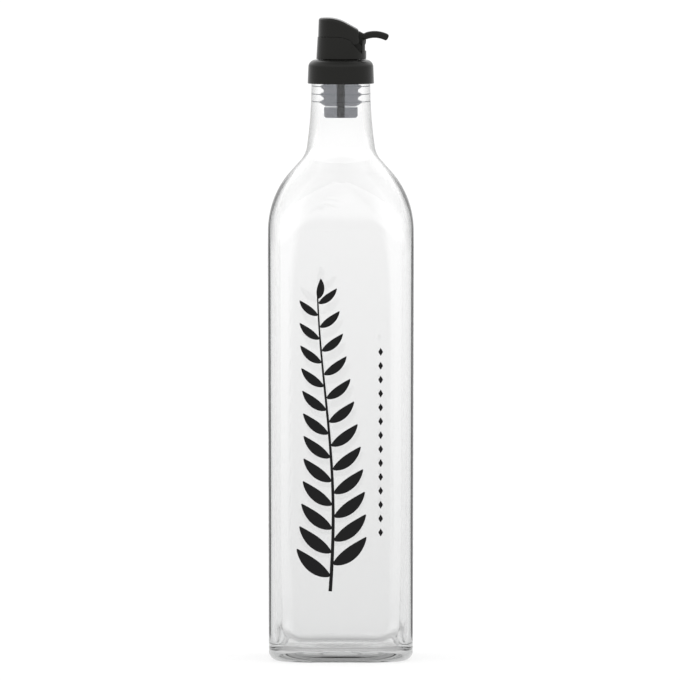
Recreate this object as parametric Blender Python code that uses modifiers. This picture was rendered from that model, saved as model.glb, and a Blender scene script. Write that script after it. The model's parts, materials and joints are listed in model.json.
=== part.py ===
"""Square glass oil cruet, empty, with a black pourer in its mouth.

The bottle is one hollow glass solid, open at the mouth. The pourer is a collar over the
glass lip, a spout housing on the collar, a flip hood with a thumb lever that turns on the
housing, a finned stopper in the neck and a thin tube through the stopper.

Metres, +Z up. The origin is on the bottle's axis at the height of its resting ring, the
flat faces look along X and Y, and the thumb lever points along +X.
"""

import math

import bmesh
import bpy
from mathutils import Matrix, Vector

MM = 0.001
PART_NAME = "oil_cruet"

# Bottle, outside
BODY_HALF_WIDTH_TOP = 38.4 * MM
BODY_HALF_WIDTH_FOOT = 37.95 * MM
BODY_CORNER_RADIUS = 12.0 * MM
BODY_TOP_HEIGHT = 227.0 * MM
CORNERS_FADE_FROM = 214.0 * MM
CORNERS_FADE_TO = 259.0 * MM
SHOULDER_ARC_RADIUS = 45.0 * MM
SHOULDER_SLOPE = math.radians(42.0)
SHOULDER_STRAIGHT = 8.2 * MM
NECK_FILLET_RADIUS = 13.8 * MM
NECK_LEAN = math.radians(8.0)
NECK_RADIUS = 15.55 * MM
MOUTH_HEIGHT = 314.3 * MM
LIP_ROUNDING = 0.8 * MM
HEEL_RADIUS = 5.0 * MM
HEEL_BLEND_HEIGHT = 16.0 * MM
HEEL_CORNER_RADIUS = 21.5 * MM

# Bottle, inside
BODY_WALL = 3.0 * MM
NECK_WALL = 4.55 * MM
WALL_GROWS_FROM = 255.0 * MM
WALL_GROWS_TO = 290.0 * MM
FLOOR_HEIGHT = 5.6 * MM
FLOOR_RISE = 2.4 * MM
INNER_HEEL_RADIUS = 6.0 * MM
PUNT_RADIUS = 24.0 * MM
PUNT_DEPTH = 3.4 * MM
RING_POINTS = 48

# Pourer
GAP = 0.3 * MM
TURNED_STEPS = 48
STOPPER_STEPS = 32
TUBE_STEPS = 16
COLLAR_TOP_RADIUS = 17.2 * MM
COLLAR_FOOT_RADIUS = 17.53 * MM
COLLAR_FOOT_HEIGHT = 303.7 * MM
COLLAR_TOP_HEIGHT = 316.3 * MM
COLLAR_ROUNDING = 4.0 * MM
STEM_RADIUS = 8.7 * MM
HOUSING_FOOT_HEIGHT = COLLAR_TOP_HEIGHT + GAP
HOUSING_DECK_HEIGHT = 320.3 * MM
HOUSING_LEFT_FOOT = -12.95 * MM
HOUSING_LEFT_PARTING = -12.2 * MM
HOUSING_RIGHT = 13.44 * MM
HOUSING_WALL = 1.6 * MM
REAR_POST_TOP = 327.0 * MM
REAR_POST_INNER = 11.2 * MM
LEVER_SLOT_FLOOR = 321.0 * MM
STEM_DUCT_RADIUS = 2.8 * MM
NOZZLE_DUCT_RADIUS = 2.2 * MM
NOZZLE_RADIUS = 3.6 * MM
NOZZLE_FOOT = Vector((0.0, 0.0, 319.0 * MM))
NOZZLE_TIP = Vector((-4.4 * MM, 0.0, 333.2 * MM))

# Flip hood and its hinge
PIVOT = Vector((7.6 * MM, 0.0, 326.4 * MM))
EAR_RADIUS = 1.9 * MM
STUB_RADIUS = 1.0 * MM
STUB_INNER_END = 5.2 * MM
STUB_OUTER_END = 9.6 * MM
LUG_RADIUS = 2.3 * MM
LUG_THICKNESS = 1.7 * MM
LUG_CENTRE = 5.85 * MM
PARTING_HEIGHT = 328.5 * MM
PARTING_BEND = -2.7 * MM
HOOD_WALL = 1.4 * MM
HOOD_LEFT_TOP = -11.6 * MM
HOOD_BACK = 9.5 * MM
ROOF_HEIGHT = 338.4 * MM
ROOF_ARC_RADIUS = 21.0 * MM
ROOF_ARC_START = -8.0 * MM
ROOF_SLOPE = math.radians(28.5)
LEVER_HALF_WIDTH = 3.4 * MM
LEVER_THICKNESS = 3.7 * MM
LEVER_ARC_CENTRE = Vector((17.8 * MM, 0.0, 315.8 * MM))
LEVER_ARC_RADIUS = 13.8 * MM
LEVER_VALLEY = 330.1 * MM
LEVER_ROOT_TOP = 331.3 * MM
LEVER_ROOT_FOOT = 326.8 * MM
HUB_RADIUS = 4.2 * MM
HUB_BACK_RADIUS = 5.7 * MM
HUB_BACK_FROM = math.radians(-60.0)
HUB_BACK_TO = math.radians(40.0)

# Stopper and tube
STOPPER_FOOT = 285.7 * MM
STOPPER_TOP = 303.9 * MM
STOPPER_PLUG_RADIUS = 8.85 * MM
STOPPER_PLUG_TOP = 291.6 * MM
STOPPER_CORE_RADIUS = 9.1 * MM
FIN_RADIUS = 10.7 * MM
FIN_HEIGHTS = (302.3 * MM, 298.1 * MM, 294.1 * MM)
TUBE_RADIUS = 1.85 * MM
TUBE_BORE_RADIUS = 1.1 * MM
TUBE_TOP = 306.5 * MM

GLASS = {"colour": (0.93, 0.95, 0.94), "roughness": 0.02, "alpha": 0.3}
BLACK_PLASTIC = {"colour": (0.022, 0.022, 0.021), "roughness": 0.38, "alpha": 1.0}
GREY_STOPPER = {"colour": (0.19, 0.2, 0.21), "roughness": 0.5, "alpha": 0.7}
DARK_TUBE = {"colour": (0.02, 0.02, 0.018), "roughness": 0.45, "alpha": 1.0}


def clear_scene():
    """Removes what a new file starts with."""
    for item in list(bpy.data.objects):
        bpy.data.objects.remove(item, do_unlink=True)


def make_collection(name):
    """A new collection in the scene."""
    collection = bpy.data.collections.new(name)
    bpy.context.scene.collection.children.link(collection)
    return collection


def make_material(name, finish):
    """A Principled material with the finish's colour, roughness and alpha."""
    material = bpy.data.materials.new(name)
    material.use_nodes = True
    shader = material.node_tree.nodes["Principled BSDF"]
    shader.inputs["Base Color"].default_value = (*finish["colour"], 1.0)
    shader.inputs["Roughness"].default_value = finish["roughness"]
    shader.inputs["Metallic"].default_value = 0.0
    shader.inputs["Alpha"].default_value = finish["alpha"]
    return material


def make_object(name, mesh, collection, material=None):
    """An object for a mesh, in a collection, with its material."""
    item = bpy.data.objects.new(name, mesh)
    collection.objects.link(item)
    if material is not None:
        mesh.materials.append(material)
    return item


def as_tool(item):
    """Marks an object that only cuts or joins another."""
    item.hide_render = True
    item.display_type = "WIRE"
    return item


def combine(target, tool, operation):
    """Adds a Boolean of the tool to the target."""
    step = target.modifiers.new(operation.lower() + "_" + tool.name, "BOOLEAN")
    step.operation = operation
    step.solver = "EXACT"
    step.object = tool


def smoothstep(value, low, high):
    """0 below low, 1 above high, and a smooth S between them."""
    share = min(max((value - low) / (high - low), 0.0), 1.0)
    return share * share * (3.0 - 2.0 * share)


def arc(centre_x, centre_z, radius, start, end, steps):
    """Points (x, z) on an arc, with angles measured from +X towards +Z."""
    points = []
    for index in range(steps + 1):
        angle = start + (end - start) * index / steps
        points.append((centre_x + radius * math.cos(angle), centre_z + radius * math.sin(angle)))
    return points


# Shapes


def slab(name, outline, half_depth, centre_y, collection):
    """A flat outline in the XZ plane, with thickness along Y, as a mesh object."""
    curve = bpy.data.curves.new(name + "_outline", "CURVE")
    curve.dimensions = "2D"
    curve.fill_mode = "BOTH"
    curve.extrude = half_depth
    spline = curve.splines.new("POLY")
    spline.points.add(len(outline) - 1)
    spline.use_cyclic_u = True
    for point, (x, z) in zip(spline.points, outline):
        point.co = (x, z, 0.0, 1.0)
    guide = bpy.data.objects.new(name + "_guide", curve)
    collection.objects.link(guide)
    guide.matrix_world = Matrix.Translation((0.0, centre_y, 0.0)) @ Matrix.Rotation(math.pi / 2, 4, "X")
    bpy.context.view_layer.update()
    graph = bpy.context.evaluated_depsgraph_get()
    mesh = bpy.data.meshes.new_from_object(guide.evaluated_get(graph))
    mesh.name = name
    work = bmesh.new()
    work.from_mesh(mesh)
    bmesh.ops.remove_doubles(work, verts=work.verts, dist=0.01 * MM)
    bmesh.ops.recalc_face_normals(work, faces=work.faces)
    work.to_mesh(mesh)
    work.free()
    item = make_object(name, mesh, collection)
    item.matrix_world = guide.matrix_world.copy()
    bpy.data.objects.remove(guide, do_unlink=True)
    return item


def rod(name, start, end, radius, collection, steps=24):
    """A round bar between two points."""
    work = bmesh.new()
    axis = end - start
    turn = axis.to_track_quat("Z", "Y").to_matrix().to_4x4()
    place = Matrix.Translation((start + end) / 2) @ turn
    bmesh.ops.create_cone(
        work, cap_ends=True, segments=steps, radius1=radius, radius2=radius, depth=axis.length, matrix=place
    )
    mesh = bpy.data.meshes.new(name)
    work.to_mesh(mesh)
    work.free()
    mesh.shade_smooth()
    mesh.set_sharp_from_angle(angle=math.radians(40.0))
    return make_object(name, mesh, collection)


def box(name, low, high, collection):
    """A box between two corners."""
    work = bmesh.new()
    size = Vector(high) - Vector(low)
    centre = (Vector(high) + Vector(low)) / 2
    bmesh.ops.create_cube(work, size=1.0, matrix=Matrix.Translation(centre) @ Matrix.Diagonal((*size, 1.0)))
    mesh = bpy.data.meshes.new(name)
    work.to_mesh(mesh)
    work.free()
    return make_object(name, mesh, collection)


def leaning_drum(name, foot, top, inset, collection):
    """A round drum with an upright right side and a left side that leans in towards the top.

    foot and top are (height, left edge). inset shrinks the drum all round, for its inside.
    """
    work = bmesh.new()
    radii = [(HOUSING_RIGHT - left) / 2 - inset for _, left in (foot, top)]
    centres = [(HOUSING_RIGHT + left) / 2 for _, left in (foot, top)]
    height = top[0] - foot[0]
    made = bmesh.ops.create_cone(
        work, cap_ends=True, segments=TURNED_STEPS, radius1=radii[0], radius2=radii[1], depth=height
    )
    for vertex in made["verts"]:
        is_top = vertex.co.z > 0
        vertex.co.x += centres[1] if is_top else centres[0]
        vertex.co.z = top[0] if is_top else foot[0]
    mesh = bpy.data.meshes.new(name)
    work.to_mesh(mesh)
    work.free()
    mesh.shade_smooth()
    mesh.set_sharp_from_angle(angle=math.radians(40.0))
    return make_object(name, mesh, collection)


def turned(name, profile, steps, collection, material):
    """A closed (radius, height) profile turned about Z; its outer side runs downwards."""
    mesh = bpy.data.meshes.new(name)
    count = len(profile)
    mesh.from_pydata(
        [(radius, 0.0, height) for radius, height in profile],
        [(index, (index + 1) % count) for index in range(count)],
        [],
    )
    item = make_object(name, mesh, collection, material)
    screw = item.modifiers.new("turned", "SCREW")
    screw.axis = "Z"
    screw.angle = math.tau
    screw.steps = steps
    screw.render_steps = steps
    screw.use_merge_vertices = True
    screw.merge_threshold = 0.00001
    screw.use_smooth_shade = True
    return item


# Bottle


def plan_radius(angle, flat, corner):
    """Distance from the axis to a square of half side flat, grown all round by corner.

    With flat at zero it is a circle. The angle is folded into the first 45 degrees.
    """
    quarter = math.pi / 2
    turn = abs((angle + quarter / 2) % quarter - quarter / 2)
    reach = flat + corner
    if math.tan(turn) * reach < flat:
        return reach / math.cos(turn)
    along = flat * (math.cos(turn) + math.sin(turn))
    across = flat * (math.cos(turn) - math.sin(turn))
    return along + math.sqrt(corner * corner - across * across)


def ring_angles():
    """Angles round a section, closer together at its corners than on its flats."""
    per_octant = RING_POINTS // 8
    octant = [math.pi / 4 * (1 - (1 - index / per_octant) ** 1.7) for index in range(per_octant)]
    mirrored = [math.pi / 2 - angle for angle in reversed(octant[1:])]
    quadrant = octant + [math.pi / 4] + mirrored
    return [angle + side * math.pi / 2 for side in range(4) for angle in quadrant]


def flat_share(height):
    """How much of the square's flats is left at a height: 1 on the body, 0 on the round neck."""
    return 1.0 - smoothstep(height, CORNERS_FADE_FROM, CORNERS_FADE_TO)


def outer_profile():
    """(half width, height) up the outside, from the top of the heel to under the lip."""
    slope = SHOULDER_SLOPE
    shoulder_x = BODY_HALF_WIDTH_TOP - SHOULDER_ARC_RADIUS
    points = [(BODY_HALF_WIDTH_FOOT, HEEL_RADIUS), (BODY_HALF_WIDTH_FOOT, HEEL_BLEND_HEIGHT)]
    points.append((BODY_HALF_WIDTH_TOP, CORNERS_FADE_FROM))
    points += arc(shoulder_x, BODY_TOP_HEIGHT, SHOULDER_ARC_RADIUS, 0.0, slope, 9)
    end_x, end_z = points[-1]
    start_x = end_x - SHOULDER_STRAIGHT * math.sin(slope)
    start_z = end_z + SHOULDER_STRAIGHT * math.cos(slope)
    fillet_x = start_x + NECK_FILLET_RADIUS * math.cos(slope)
    fillet_z = start_z + NECK_FILLET_RADIUS * math.sin(slope)
    points += arc(fillet_x, fillet_z, NECK_FILLET_RADIUS, math.pi + slope, math.pi + NECK_LEAN, 5)
    neck_x, neck_z = points[-1]
    neck_arc = (neck_x - NECK_RADIUS) / (1 - math.cos(NECK_LEAN))
    upright_z = neck_z + neck_arc * math.sin(NECK_LEAN)
    points += arc(NECK_RADIUS + neck_arc, upright_z, neck_arc, math.pi + NECK_LEAN, math.pi, 5)[1:]
    return points


def inner_profile(outside):
    """The outside profile moved in along its normal by the wall's thickness."""
    inside = []
    for index in range(1, len(outside)):
        before = outside[index - 1]
        after = outside[min(index + 1, len(outside) - 1)]
        run = Vector((after[0] - before[0], after[1] - before[1])).normalized()
        half, height = outside[index]
        wall = BODY_WALL + (NECK_WALL - BODY_WALL) * smoothstep(height, WALL_GROWS_FROM, WALL_GROWS_TO)
        inside.append((half - wall * run.y, height + wall * run.x))
    return inside


def body_flat(height):
    """Half side of the plan's square at a height above the heel."""
    foot = BODY_HALF_WIDTH_FOOT - HEEL_CORNER_RADIUS
    body = BODY_HALF_WIDTH_TOP - BODY_CORNER_RADIUS
    blend = smoothstep(height, 0.0, HEEL_BLEND_HEIGHT)
    return (foot + (body - foot) * blend) * flat_share(height)


def bottle_sections():
    """(flat, half width, height) of each ring, from under the base, up outside and down inside."""
    sections = []
    for share in (1 / 3, 2 / 3, 1.0):
        rise = PUNT_DEPTH * (1 - share * share)
        sections.append((0.0, PUNT_RADIUS * share, rise))
    for x, z in arc(BODY_HALF_WIDTH_FOOT - HEEL_RADIUS, HEEL_RADIUS, HEEL_RADIUS, -math.pi / 2, 0.0, 5)[:-1]:
        sections.append((body_flat(z), x, z))
    outside = outer_profile()
    sections += [(body_flat(z), x, z) for x, z in outside]
    lip_x = NECK_RADIUS - LIP_ROUNDING
    lip_z = MOUTH_HEIGHT - LIP_ROUNDING
    sections += [(0.0, x, z) for x, z in arc(lip_x, lip_z, LIP_ROUNDING, 0.0, math.pi / 2, 2)]
    bore = NECK_RADIUS - NECK_WALL
    sections += [(0.0, x, z) for x, z in arc(bore + LIP_ROUNDING, lip_z, LIP_ROUNDING, math.pi / 2, math.pi, 2)]
    inside = inner_profile(outside)
    sections += [(body_flat(z), x, z) for x, z in reversed(inside[1:])]
    heel_x = BODY_HALF_WIDTH_FOOT - BODY_WALL - INNER_HEEL_RADIUS
    heel_z = FLOOR_HEIGHT + INNER_HEEL_RADIUS
    for x, z in arc(heel_x, heel_z, INNER_HEEL_RADIUS, 0.0, -math.pi / 2, 4):
        sections.append((body_flat(z) * 0.9, x, z))
    for share in (0.95, 2 / 3, 1 / 3):
        rise = FLOOR_HEIGHT + FLOOR_RISE * (1 - share * share)
        sections.append((0.0, PUNT_RADIUS * share, rise))
    return sections


def make_bottle(collection):
    """The hollow glass: rings that change from round to square, joined into one closed wall."""
    angles = ring_angles()
    work = bmesh.new()
    rings = []
    for flat, half, height in bottle_sections():
        ring = []
        for angle in angles:
            radius = plan_radius(angle, flat, half - flat)
            ring.append(work.verts.new((radius * math.cos(angle), radius * math.sin(angle), height)))
        rings.append(ring)
    count = len(angles)
    for lower, upper in zip(rings, rings[1:]):
        for index in range(count):
            after = (index + 1) % count
            work.faces.new((lower[index], lower[after], upper[after], upper[index]))
    for ring, height in ((rings[0], PUNT_DEPTH), (rings[-1], FLOOR_HEIGHT + FLOOR_RISE)):
        pole = work.verts.new((0.0, 0.0, height))
        for index in range(count):
            work.faces.new((ring[index], ring[(index + 1) % count], pole))
    bmesh.ops.recalc_face_normals(work, faces=work.faces)
    mesh = bpy.data.meshes.new("bottle_glass")
    work.to_mesh(mesh)
    work.free()
    mesh.shade_smooth()
    mesh.set_sharp_from_angle(angle=math.radians(50.0))
    return make_object("bottle_glass", mesh, collection, make_material("clear_glass", GLASS))


# Pourer


def make_collar(collection, material):
    """The cap over the glass lip: a rounded skirt and a top plate with a hole for the stem."""
    plate_foot = MOUTH_HEIGHT + GAP
    hole = STEM_RADIUS + GAP
    skirt_inside = NECK_RADIUS + GAP
    profile = [(hole, COLLAR_TOP_HEIGHT)]
    centre_x = COLLAR_TOP_RADIUS - COLLAR_ROUNDING
    centre_z = COLLAR_TOP_HEIGHT - COLLAR_ROUNDING
    profile += arc(centre_x, centre_z, COLLAR_ROUNDING, math.pi / 2, 0.0, 6)
    profile += [(COLLAR_FOOT_RADIUS, COLLAR_FOOT_HEIGHT), (skirt_inside, COLLAR_FOOT_HEIGHT)]
    profile += [(skirt_inside, plate_foot), (hole, plate_foot)]
    return turned("pour_collar", profile, TURNED_STEPS, collection, material)


def parting_curve(drop):
    """(x, z) points of the hood's lower edge from its left to the ear, lowered by drop."""
    start = Vector((PARTING_BEND, PARTING_HEIGHT))
    bend = Vector((1.6 * MM, PARTING_HEIGHT))
    end = Vector((PIVOT.x - EAR_RADIUS - 0.9 * MM, PIVOT.z + 0.4 * MM))
    points = []
    for index in range(7):
        t = index / 6
        point = start * (1 - t) ** 2 + bend * 2 * t * (1 - t) + end * t * t
        points.append((point.x, point.y - drop))
    return points


def roof_line(sink):
    """(x, z) points of the hood's roof from its back to its left, moved in by sink."""
    centre_z = ROOF_HEIGHT - ROOF_ARC_RADIUS
    points = arc(
        ROOF_ARC_START,
        centre_z,
        ROOF_ARC_RADIUS - sink,
        math.pi / 2 - ROOF_SLOPE,
        math.pi / 2,
        8,
    )
    first_x, first_z = points[0]
    back = HOOD_BACK - sink
    back_z = first_z - (back - first_x) * math.tan(ROOF_SLOPE)
    return [(back, back_z)] + points


def hood_outline(left):
    """The hood seen from the side: lower edge, round ear, back and roof."""
    outline = [(left, PARTING_HEIGHT)] + parting_curve(0.0)
    outline += arc(PIVOT.x, PIVOT.z, EAR_RADIUS, math.radians(190.0), math.radians(360.0), 12)
    outline += roof_line(0.0)
    outline.append((left, ROOF_HEIGHT))
    return outline


def lever_outline():
    """The thumb lever seen from the side: a short root, an arched arm and a round tip."""
    centre_x, centre_z = LEVER_ARC_CENTRE.x, LEVER_ARC_CENTRE.z
    half = LEVER_THICKNESS / 2
    top = arc(centre_x, centre_z, LEVER_ARC_RADIUS + half, math.radians(107.0), math.radians(64.5), 10)
    tip_x = centre_x + LEVER_ARC_RADIUS * math.cos(math.radians(64.5))
    tip_z = centre_z + LEVER_ARC_RADIUS * math.sin(math.radians(64.5))
    tip = arc(tip_x, tip_z, half, math.radians(64.5), math.radians(64.5 - 180.0), 8)[1:-1]
    under = arc(centre_x, centre_z, LEVER_ARC_RADIUS - half, math.radians(64.5), math.radians(111.0), 10)
    root = HOOD_BACK - HOOD_WALL + 0.3 * MM
    outline = [(root, LEVER_ROOT_TOP), (HOOD_BACK + 0.4 * MM, LEVER_ROOT_TOP)]
    outline.append((HOOD_BACK + 2.6 * MM, LEVER_VALLEY))
    outline += top + tip + under
    outline += [(HOOD_BACK + 2.9 * MM, LEVER_ROOT_FOOT), (root, LEVER_ROOT_FOOT)]
    return outline


def hub_outline():
    """The lever's hub seen from the side: a disc about the pivot, wider towards the back."""
    outline = arc(PIVOT.x, PIVOT.z, HUB_BACK_RADIUS, HUB_BACK_FROM, HUB_BACK_TO, 12)
    outline += arc(PIVOT.x, PIVOT.z, HUB_RADIUS, HUB_BACK_TO, HUB_BACK_FROM + math.tau, 22)
    return outline


def make_hood(parts, tools, material):
    """The flip hood: a hollow drum cut to the side outline, with ears, stubs, hub and lever.

    It hangs on an empty at the pivot, so turning the empty about Y opens it.
    """
    foot = (PIVOT.z - 4 * MM, HOUSING_LEFT_PARTING)
    top = (ROOF_HEIGHT + 2 * MM, HOOD_LEFT_TOP)
    hood = leaning_drum("flip_hood", foot, top, 0.0, parts)
    hood.data.materials.append(material)
    side = as_tool(slab("hood_side", hood_outline(-20 * MM), 20 * MM, 0.0, tools))
    combine(hood, side, "INTERSECT")
    core = as_tool(leaning_drum("hood_core", (foot[0] - MM, foot[1]), top, HOOD_WALL, tools))
    inside = [(-20 * MM, foot[0] - 2 * MM), (HOOD_BACK - HOOD_WALL, foot[0] - 2 * MM)]
    inside += roof_line(HOOD_WALL)
    inside.append((-20 * MM, ROOF_HEIGHT - HOOD_WALL))
    core_side = as_tool(slab("hood_core_side", inside, 19 * MM, 0.0, tools))
    combine(core, core_side, "INTERSECT")
    combine(hood, core, "DIFFERENCE")
    for side_name, sign in (("front", -1), ("back", 1)):
        room_start = PIVOT + Vector((0.0, sign * (LUG_CENTRE - 1.1 * MM), 0.0))
        room_end = PIVOT + Vector((0.0, sign * (LUG_CENTRE + 1.1 * MM), 0.0))
        room = as_tool(rod("lug_room_" + side_name, room_start, room_end, LUG_RADIUS + GAP, tools, 30))
        combine(hood, room, "DIFFERENCE")
        stub_start = PIVOT + Vector((0.0, sign * STUB_INNER_END, 0.0))
        stub_end = PIVOT + Vector((0.0, sign * STUB_OUTER_END, 0.0))
        stub = as_tool(rod("hinge_stub_" + side_name, stub_start, stub_end, STUB_RADIUS, tools))
        combine(hood, stub, "UNION")
    lever = as_tool(slab("thumb_lever", lever_outline(), LEVER_HALF_WIDTH, 0.0, tools))
    bevel = lever.modifiers.new("soft_edges", "BEVEL")
    bevel.width = 0.7 * MM
    bevel.segments = 2
    bevel.limit_method = "ANGLE"
    bevel.angle_limit = math.radians(60.0)
    combine(hood, lever, "UNION")
    hub = as_tool(slab("lever_hub", hub_outline(), LEVER_HALF_WIDTH - 0.1 * MM, 0.0, tools))
    combine(hood, hub, "UNION")
    pivot = bpy.data.objects.new("hood_pivot", None)
    pivot.location = PIVOT
    parts.objects.link(pivot)
    hood.parent = pivot
    hood.matrix_parent_inverse = Matrix.Translation(-PIVOT)
    return hood


def lug_outline():
    """A hinge lug seen from the side: a post with a round top about the pivot."""
    outline = [(PIVOT.x - LUG_RADIUS, HOUSING_DECK_HEIGHT - 0.8 * MM)]
    right = REAR_POST_INNER + 0.4 * MM
    outline += [(right, HOUSING_DECK_HEIGHT - 0.8 * MM), (right, PIVOT.z - 3.4 * MM)]
    outline += arc(PIVOT.x, PIVOT.z, LUG_RADIUS, math.radians(-30.0), math.radians(180.0), 14)
    return outline


def make_housing(parts, tools, material):
    """The spout housing: a round cup on a stem, with hinge lugs, a rear slot and a nozzle."""
    foot = (HOUSING_FOOT_HEIGHT, HOUSING_LEFT_FOOT)
    top = (PARTING_HEIGHT + MM, HOUSING_LEFT_PARTING)
    housing = leaning_drum("spout_housing", foot, top, 0.0, parts)
    housing.data.materials.append(material)
    hollow_foot = (HOUSING_DECK_HEIGHT, HOUSING_LEFT_FOOT)
    hollow_top = (top[0] + MM, HOUSING_LEFT_PARTING)
    hollow = as_tool(leaning_drum("housing_hollow", hollow_foot, hollow_top, HOUSING_WALL, tools))
    combine(housing, hollow, "DIFFERENCE")

    above = [(-20 * MM, PARTING_HEIGHT - GAP)] + parting_curve(GAP)
    notch = EAR_RADIUS + 0.35 * MM
    above += arc(PIVOT.x, PIVOT.z, notch, math.radians(185.0), math.radians(235.0), 5)
    above += [(REAR_POST_INNER, HOUSING_DECK_HEIGHT - MM), (REAR_POST_INNER, REAR_POST_TOP)]
    above += [(20 * MM, REAR_POST_TOP), (20 * MM, 340 * MM), (-20 * MM, 340 * MM)]
    combine(housing, as_tool(slab("above_parting", above, 21 * MM, 0.0, tools)), "DIFFERENCE")

    slot_half = LEVER_HALF_WIDTH + 0.5 * MM
    slot_low = (HOOD_BACK - MM, -slot_half, LEVER_SLOT_FLOOR)
    slot_high = (18 * MM, slot_half, REAR_POST_TOP + 5 * MM)
    combine(housing, as_tool(box("lever_slot", slot_low, slot_high, tools)), "DIFFERENCE")

    stem_foot = Vector((0.0, 0.0, STOPPER_TOP + GAP))
    stem_top = Vector((0.0, 0.0, HOUSING_FOOT_HEIGHT + 1.5 * MM))
    stem = as_tool(rod("stem", stem_foot, stem_top, STEM_RADIUS, tools, 40))
    combine(housing, stem, "UNION")
    for side_name, sign in (("front", -1), ("back", 1)):
        lug = slab("lug_" + side_name, lug_outline(), LUG_THICKNESS / 2, sign * LUG_CENTRE, tools)
        combine(housing, as_tool(lug), "UNION")
    nozzle = as_tool(rod("nozzle", NOZZLE_FOOT, NOZZLE_TIP, NOZZLE_RADIUS, tools, 32))
    combine(housing, nozzle, "UNION")

    duct_foot = stem_foot - Vector((0, 0, MM))
    duct_top = NOZZLE_FOOT + Vector((0, 0, 1.2 * MM))
    duct = as_tool(rod("stem_duct", duct_foot, duct_top, STEM_DUCT_RADIUS, tools, 24))
    combine(housing, duct, "DIFFERENCE")
    lean = (NOZZLE_TIP - NOZZLE_FOOT).normalized()
    mouth_top = NOZZLE_TIP + lean * MM
    mouth = as_tool(rod("nozzle_duct", NOZZLE_FOOT, mouth_top, NOZZLE_DUCT_RADIUS, tools, 20))
    combine(housing, mouth, "DIFFERENCE")
    reach = Vector((0.0, LUG_CENTRE + 1.6 * MM, 0.0))
    pin_hole = as_tool(rod("pivot_hole", PIVOT - reach, PIVOT + reach, STUB_RADIUS + GAP, tools))
    combine(housing, pin_hole, "DIFFERENCE")
    return housing


def make_stopper(collection, material):
    """The grey stopper: a narrow plug below, and a core with soft fins that meet the bore."""
    bore = TUBE_RADIUS + GAP
    profile = [(bore, STOPPER_TOP), (STOPPER_CORE_RADIUS, STOPPER_TOP)]
    for height in FIN_HEIGHTS:
        profile += [
            (STOPPER_CORE_RADIUS, height + 1.3 * MM),
            (FIN_RADIUS, height + 0.2 * MM),
            (FIN_RADIUS, height - 0.3 * MM),
            (STOPPER_CORE_RADIUS, height - 2.1 * MM),
        ]
    groove = STOPPER_PLUG_RADIUS - 0.6 * MM
    profile += [(groove, STOPPER_PLUG_TOP + 0.3 * MM), (groove, STOPPER_PLUG_TOP)]
    profile += [(STOPPER_PLUG_RADIUS, STOPPER_PLUG_TOP - 0.2 * MM)]
    rounding = 1.0 * MM
    centre_x = STOPPER_PLUG_RADIUS - rounding
    profile += arc(centre_x, STOPPER_FOOT + rounding, rounding, 0.0, -math.pi / 2, 3)
    profile.append((bore, STOPPER_FOOT))
    return turned("stopper", profile, STOPPER_STEPS, collection, material)


def make_tube(collection, material):
    """The thin dark tube through the stopper, open at both ends."""
    profile = [(TUBE_BORE_RADIUS, TUBE_TOP), (TUBE_RADIUS, TUBE_TOP)]
    profile += [(TUBE_RADIUS, STOPPER_FOOT), (TUBE_BORE_RADIUS, STOPPER_FOOT)]
    return turned("air_tube", profile, TUBE_STEPS, collection, material)


def main():
    clear_scene()
    parts = make_collection(PART_NAME)
    tools = make_collection(PART_NAME + "_tools")
    plastic = make_material("black_plastic", BLACK_PLASTIC)
    make_bottle(parts)
    make_collar(parts, plastic)
    make_housing(parts, tools, plastic)
    make_hood(parts, tools, plastic)
    make_stopper(parts, make_material("grey_stopper", GREY_STOPPER))
    make_tube(parts, make_material("dark_tube", DARK_TUBE))


main()
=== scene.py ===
"""Looks of an empty square glass oil cruet with a black pourer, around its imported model.

Every piece is a closed surface worked out with numpy: rings of points joined side by side.
Sizes are in millimetres; MM turns them into the scene's metres when a mesh is made. The
thumb lever points along +X, the front face looks along -Y and the bottle stands on z = 0.
A pivot is the (x, z) of the hood's hinge, and a sign is -1 at the front and 1 at the back.
"""

import json
import logging
import math
from dataclasses import dataclass
from enum import Enum

import bpy
import numpy as np
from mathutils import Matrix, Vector

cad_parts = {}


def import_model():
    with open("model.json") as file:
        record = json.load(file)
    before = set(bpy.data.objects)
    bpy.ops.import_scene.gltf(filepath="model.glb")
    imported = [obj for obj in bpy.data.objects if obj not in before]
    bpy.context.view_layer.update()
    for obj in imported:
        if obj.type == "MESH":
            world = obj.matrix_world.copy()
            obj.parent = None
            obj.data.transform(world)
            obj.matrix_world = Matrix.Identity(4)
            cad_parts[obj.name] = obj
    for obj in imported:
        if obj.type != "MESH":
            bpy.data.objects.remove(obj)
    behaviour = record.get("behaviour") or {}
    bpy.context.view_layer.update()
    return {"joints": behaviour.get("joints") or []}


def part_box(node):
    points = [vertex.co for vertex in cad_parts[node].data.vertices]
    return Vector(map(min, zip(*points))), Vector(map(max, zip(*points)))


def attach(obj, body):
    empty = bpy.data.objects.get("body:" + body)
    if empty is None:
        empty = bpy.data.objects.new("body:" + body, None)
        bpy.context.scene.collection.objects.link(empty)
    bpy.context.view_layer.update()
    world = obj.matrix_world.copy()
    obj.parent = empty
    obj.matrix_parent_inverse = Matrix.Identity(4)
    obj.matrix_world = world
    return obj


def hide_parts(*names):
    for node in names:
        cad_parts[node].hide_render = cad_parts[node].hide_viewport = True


Socket = bpy.types.NodeSocket
Number = float | np.ndarray

MM = 0.001
TAU = 2.0 * math.pi
QUARTER = math.pi / 2
# Lines across the pourer end this far out on either side.
FAR = 40.0
DENSE_TURN = np.linspace(0.0, TAU, 4001)
CAP_SHARES = (0.35, 0.7)
BEVEL_ANGLE = math.radians(48.0)
SHARP_ANGLE = math.radians(50.0)
SIDES = (("front", -1), ("back", 1))
IMAGE_SIDE = 680
SENSOR_WIDTH = 36.0
OUTSIDE = "outside"
log = logging.getLogger("oil_cruet")


class Body(Enum):
    """The two bodies that pieces ride on."""

    BOTTLE = "bottle"
    HOOD = "hood"


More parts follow.
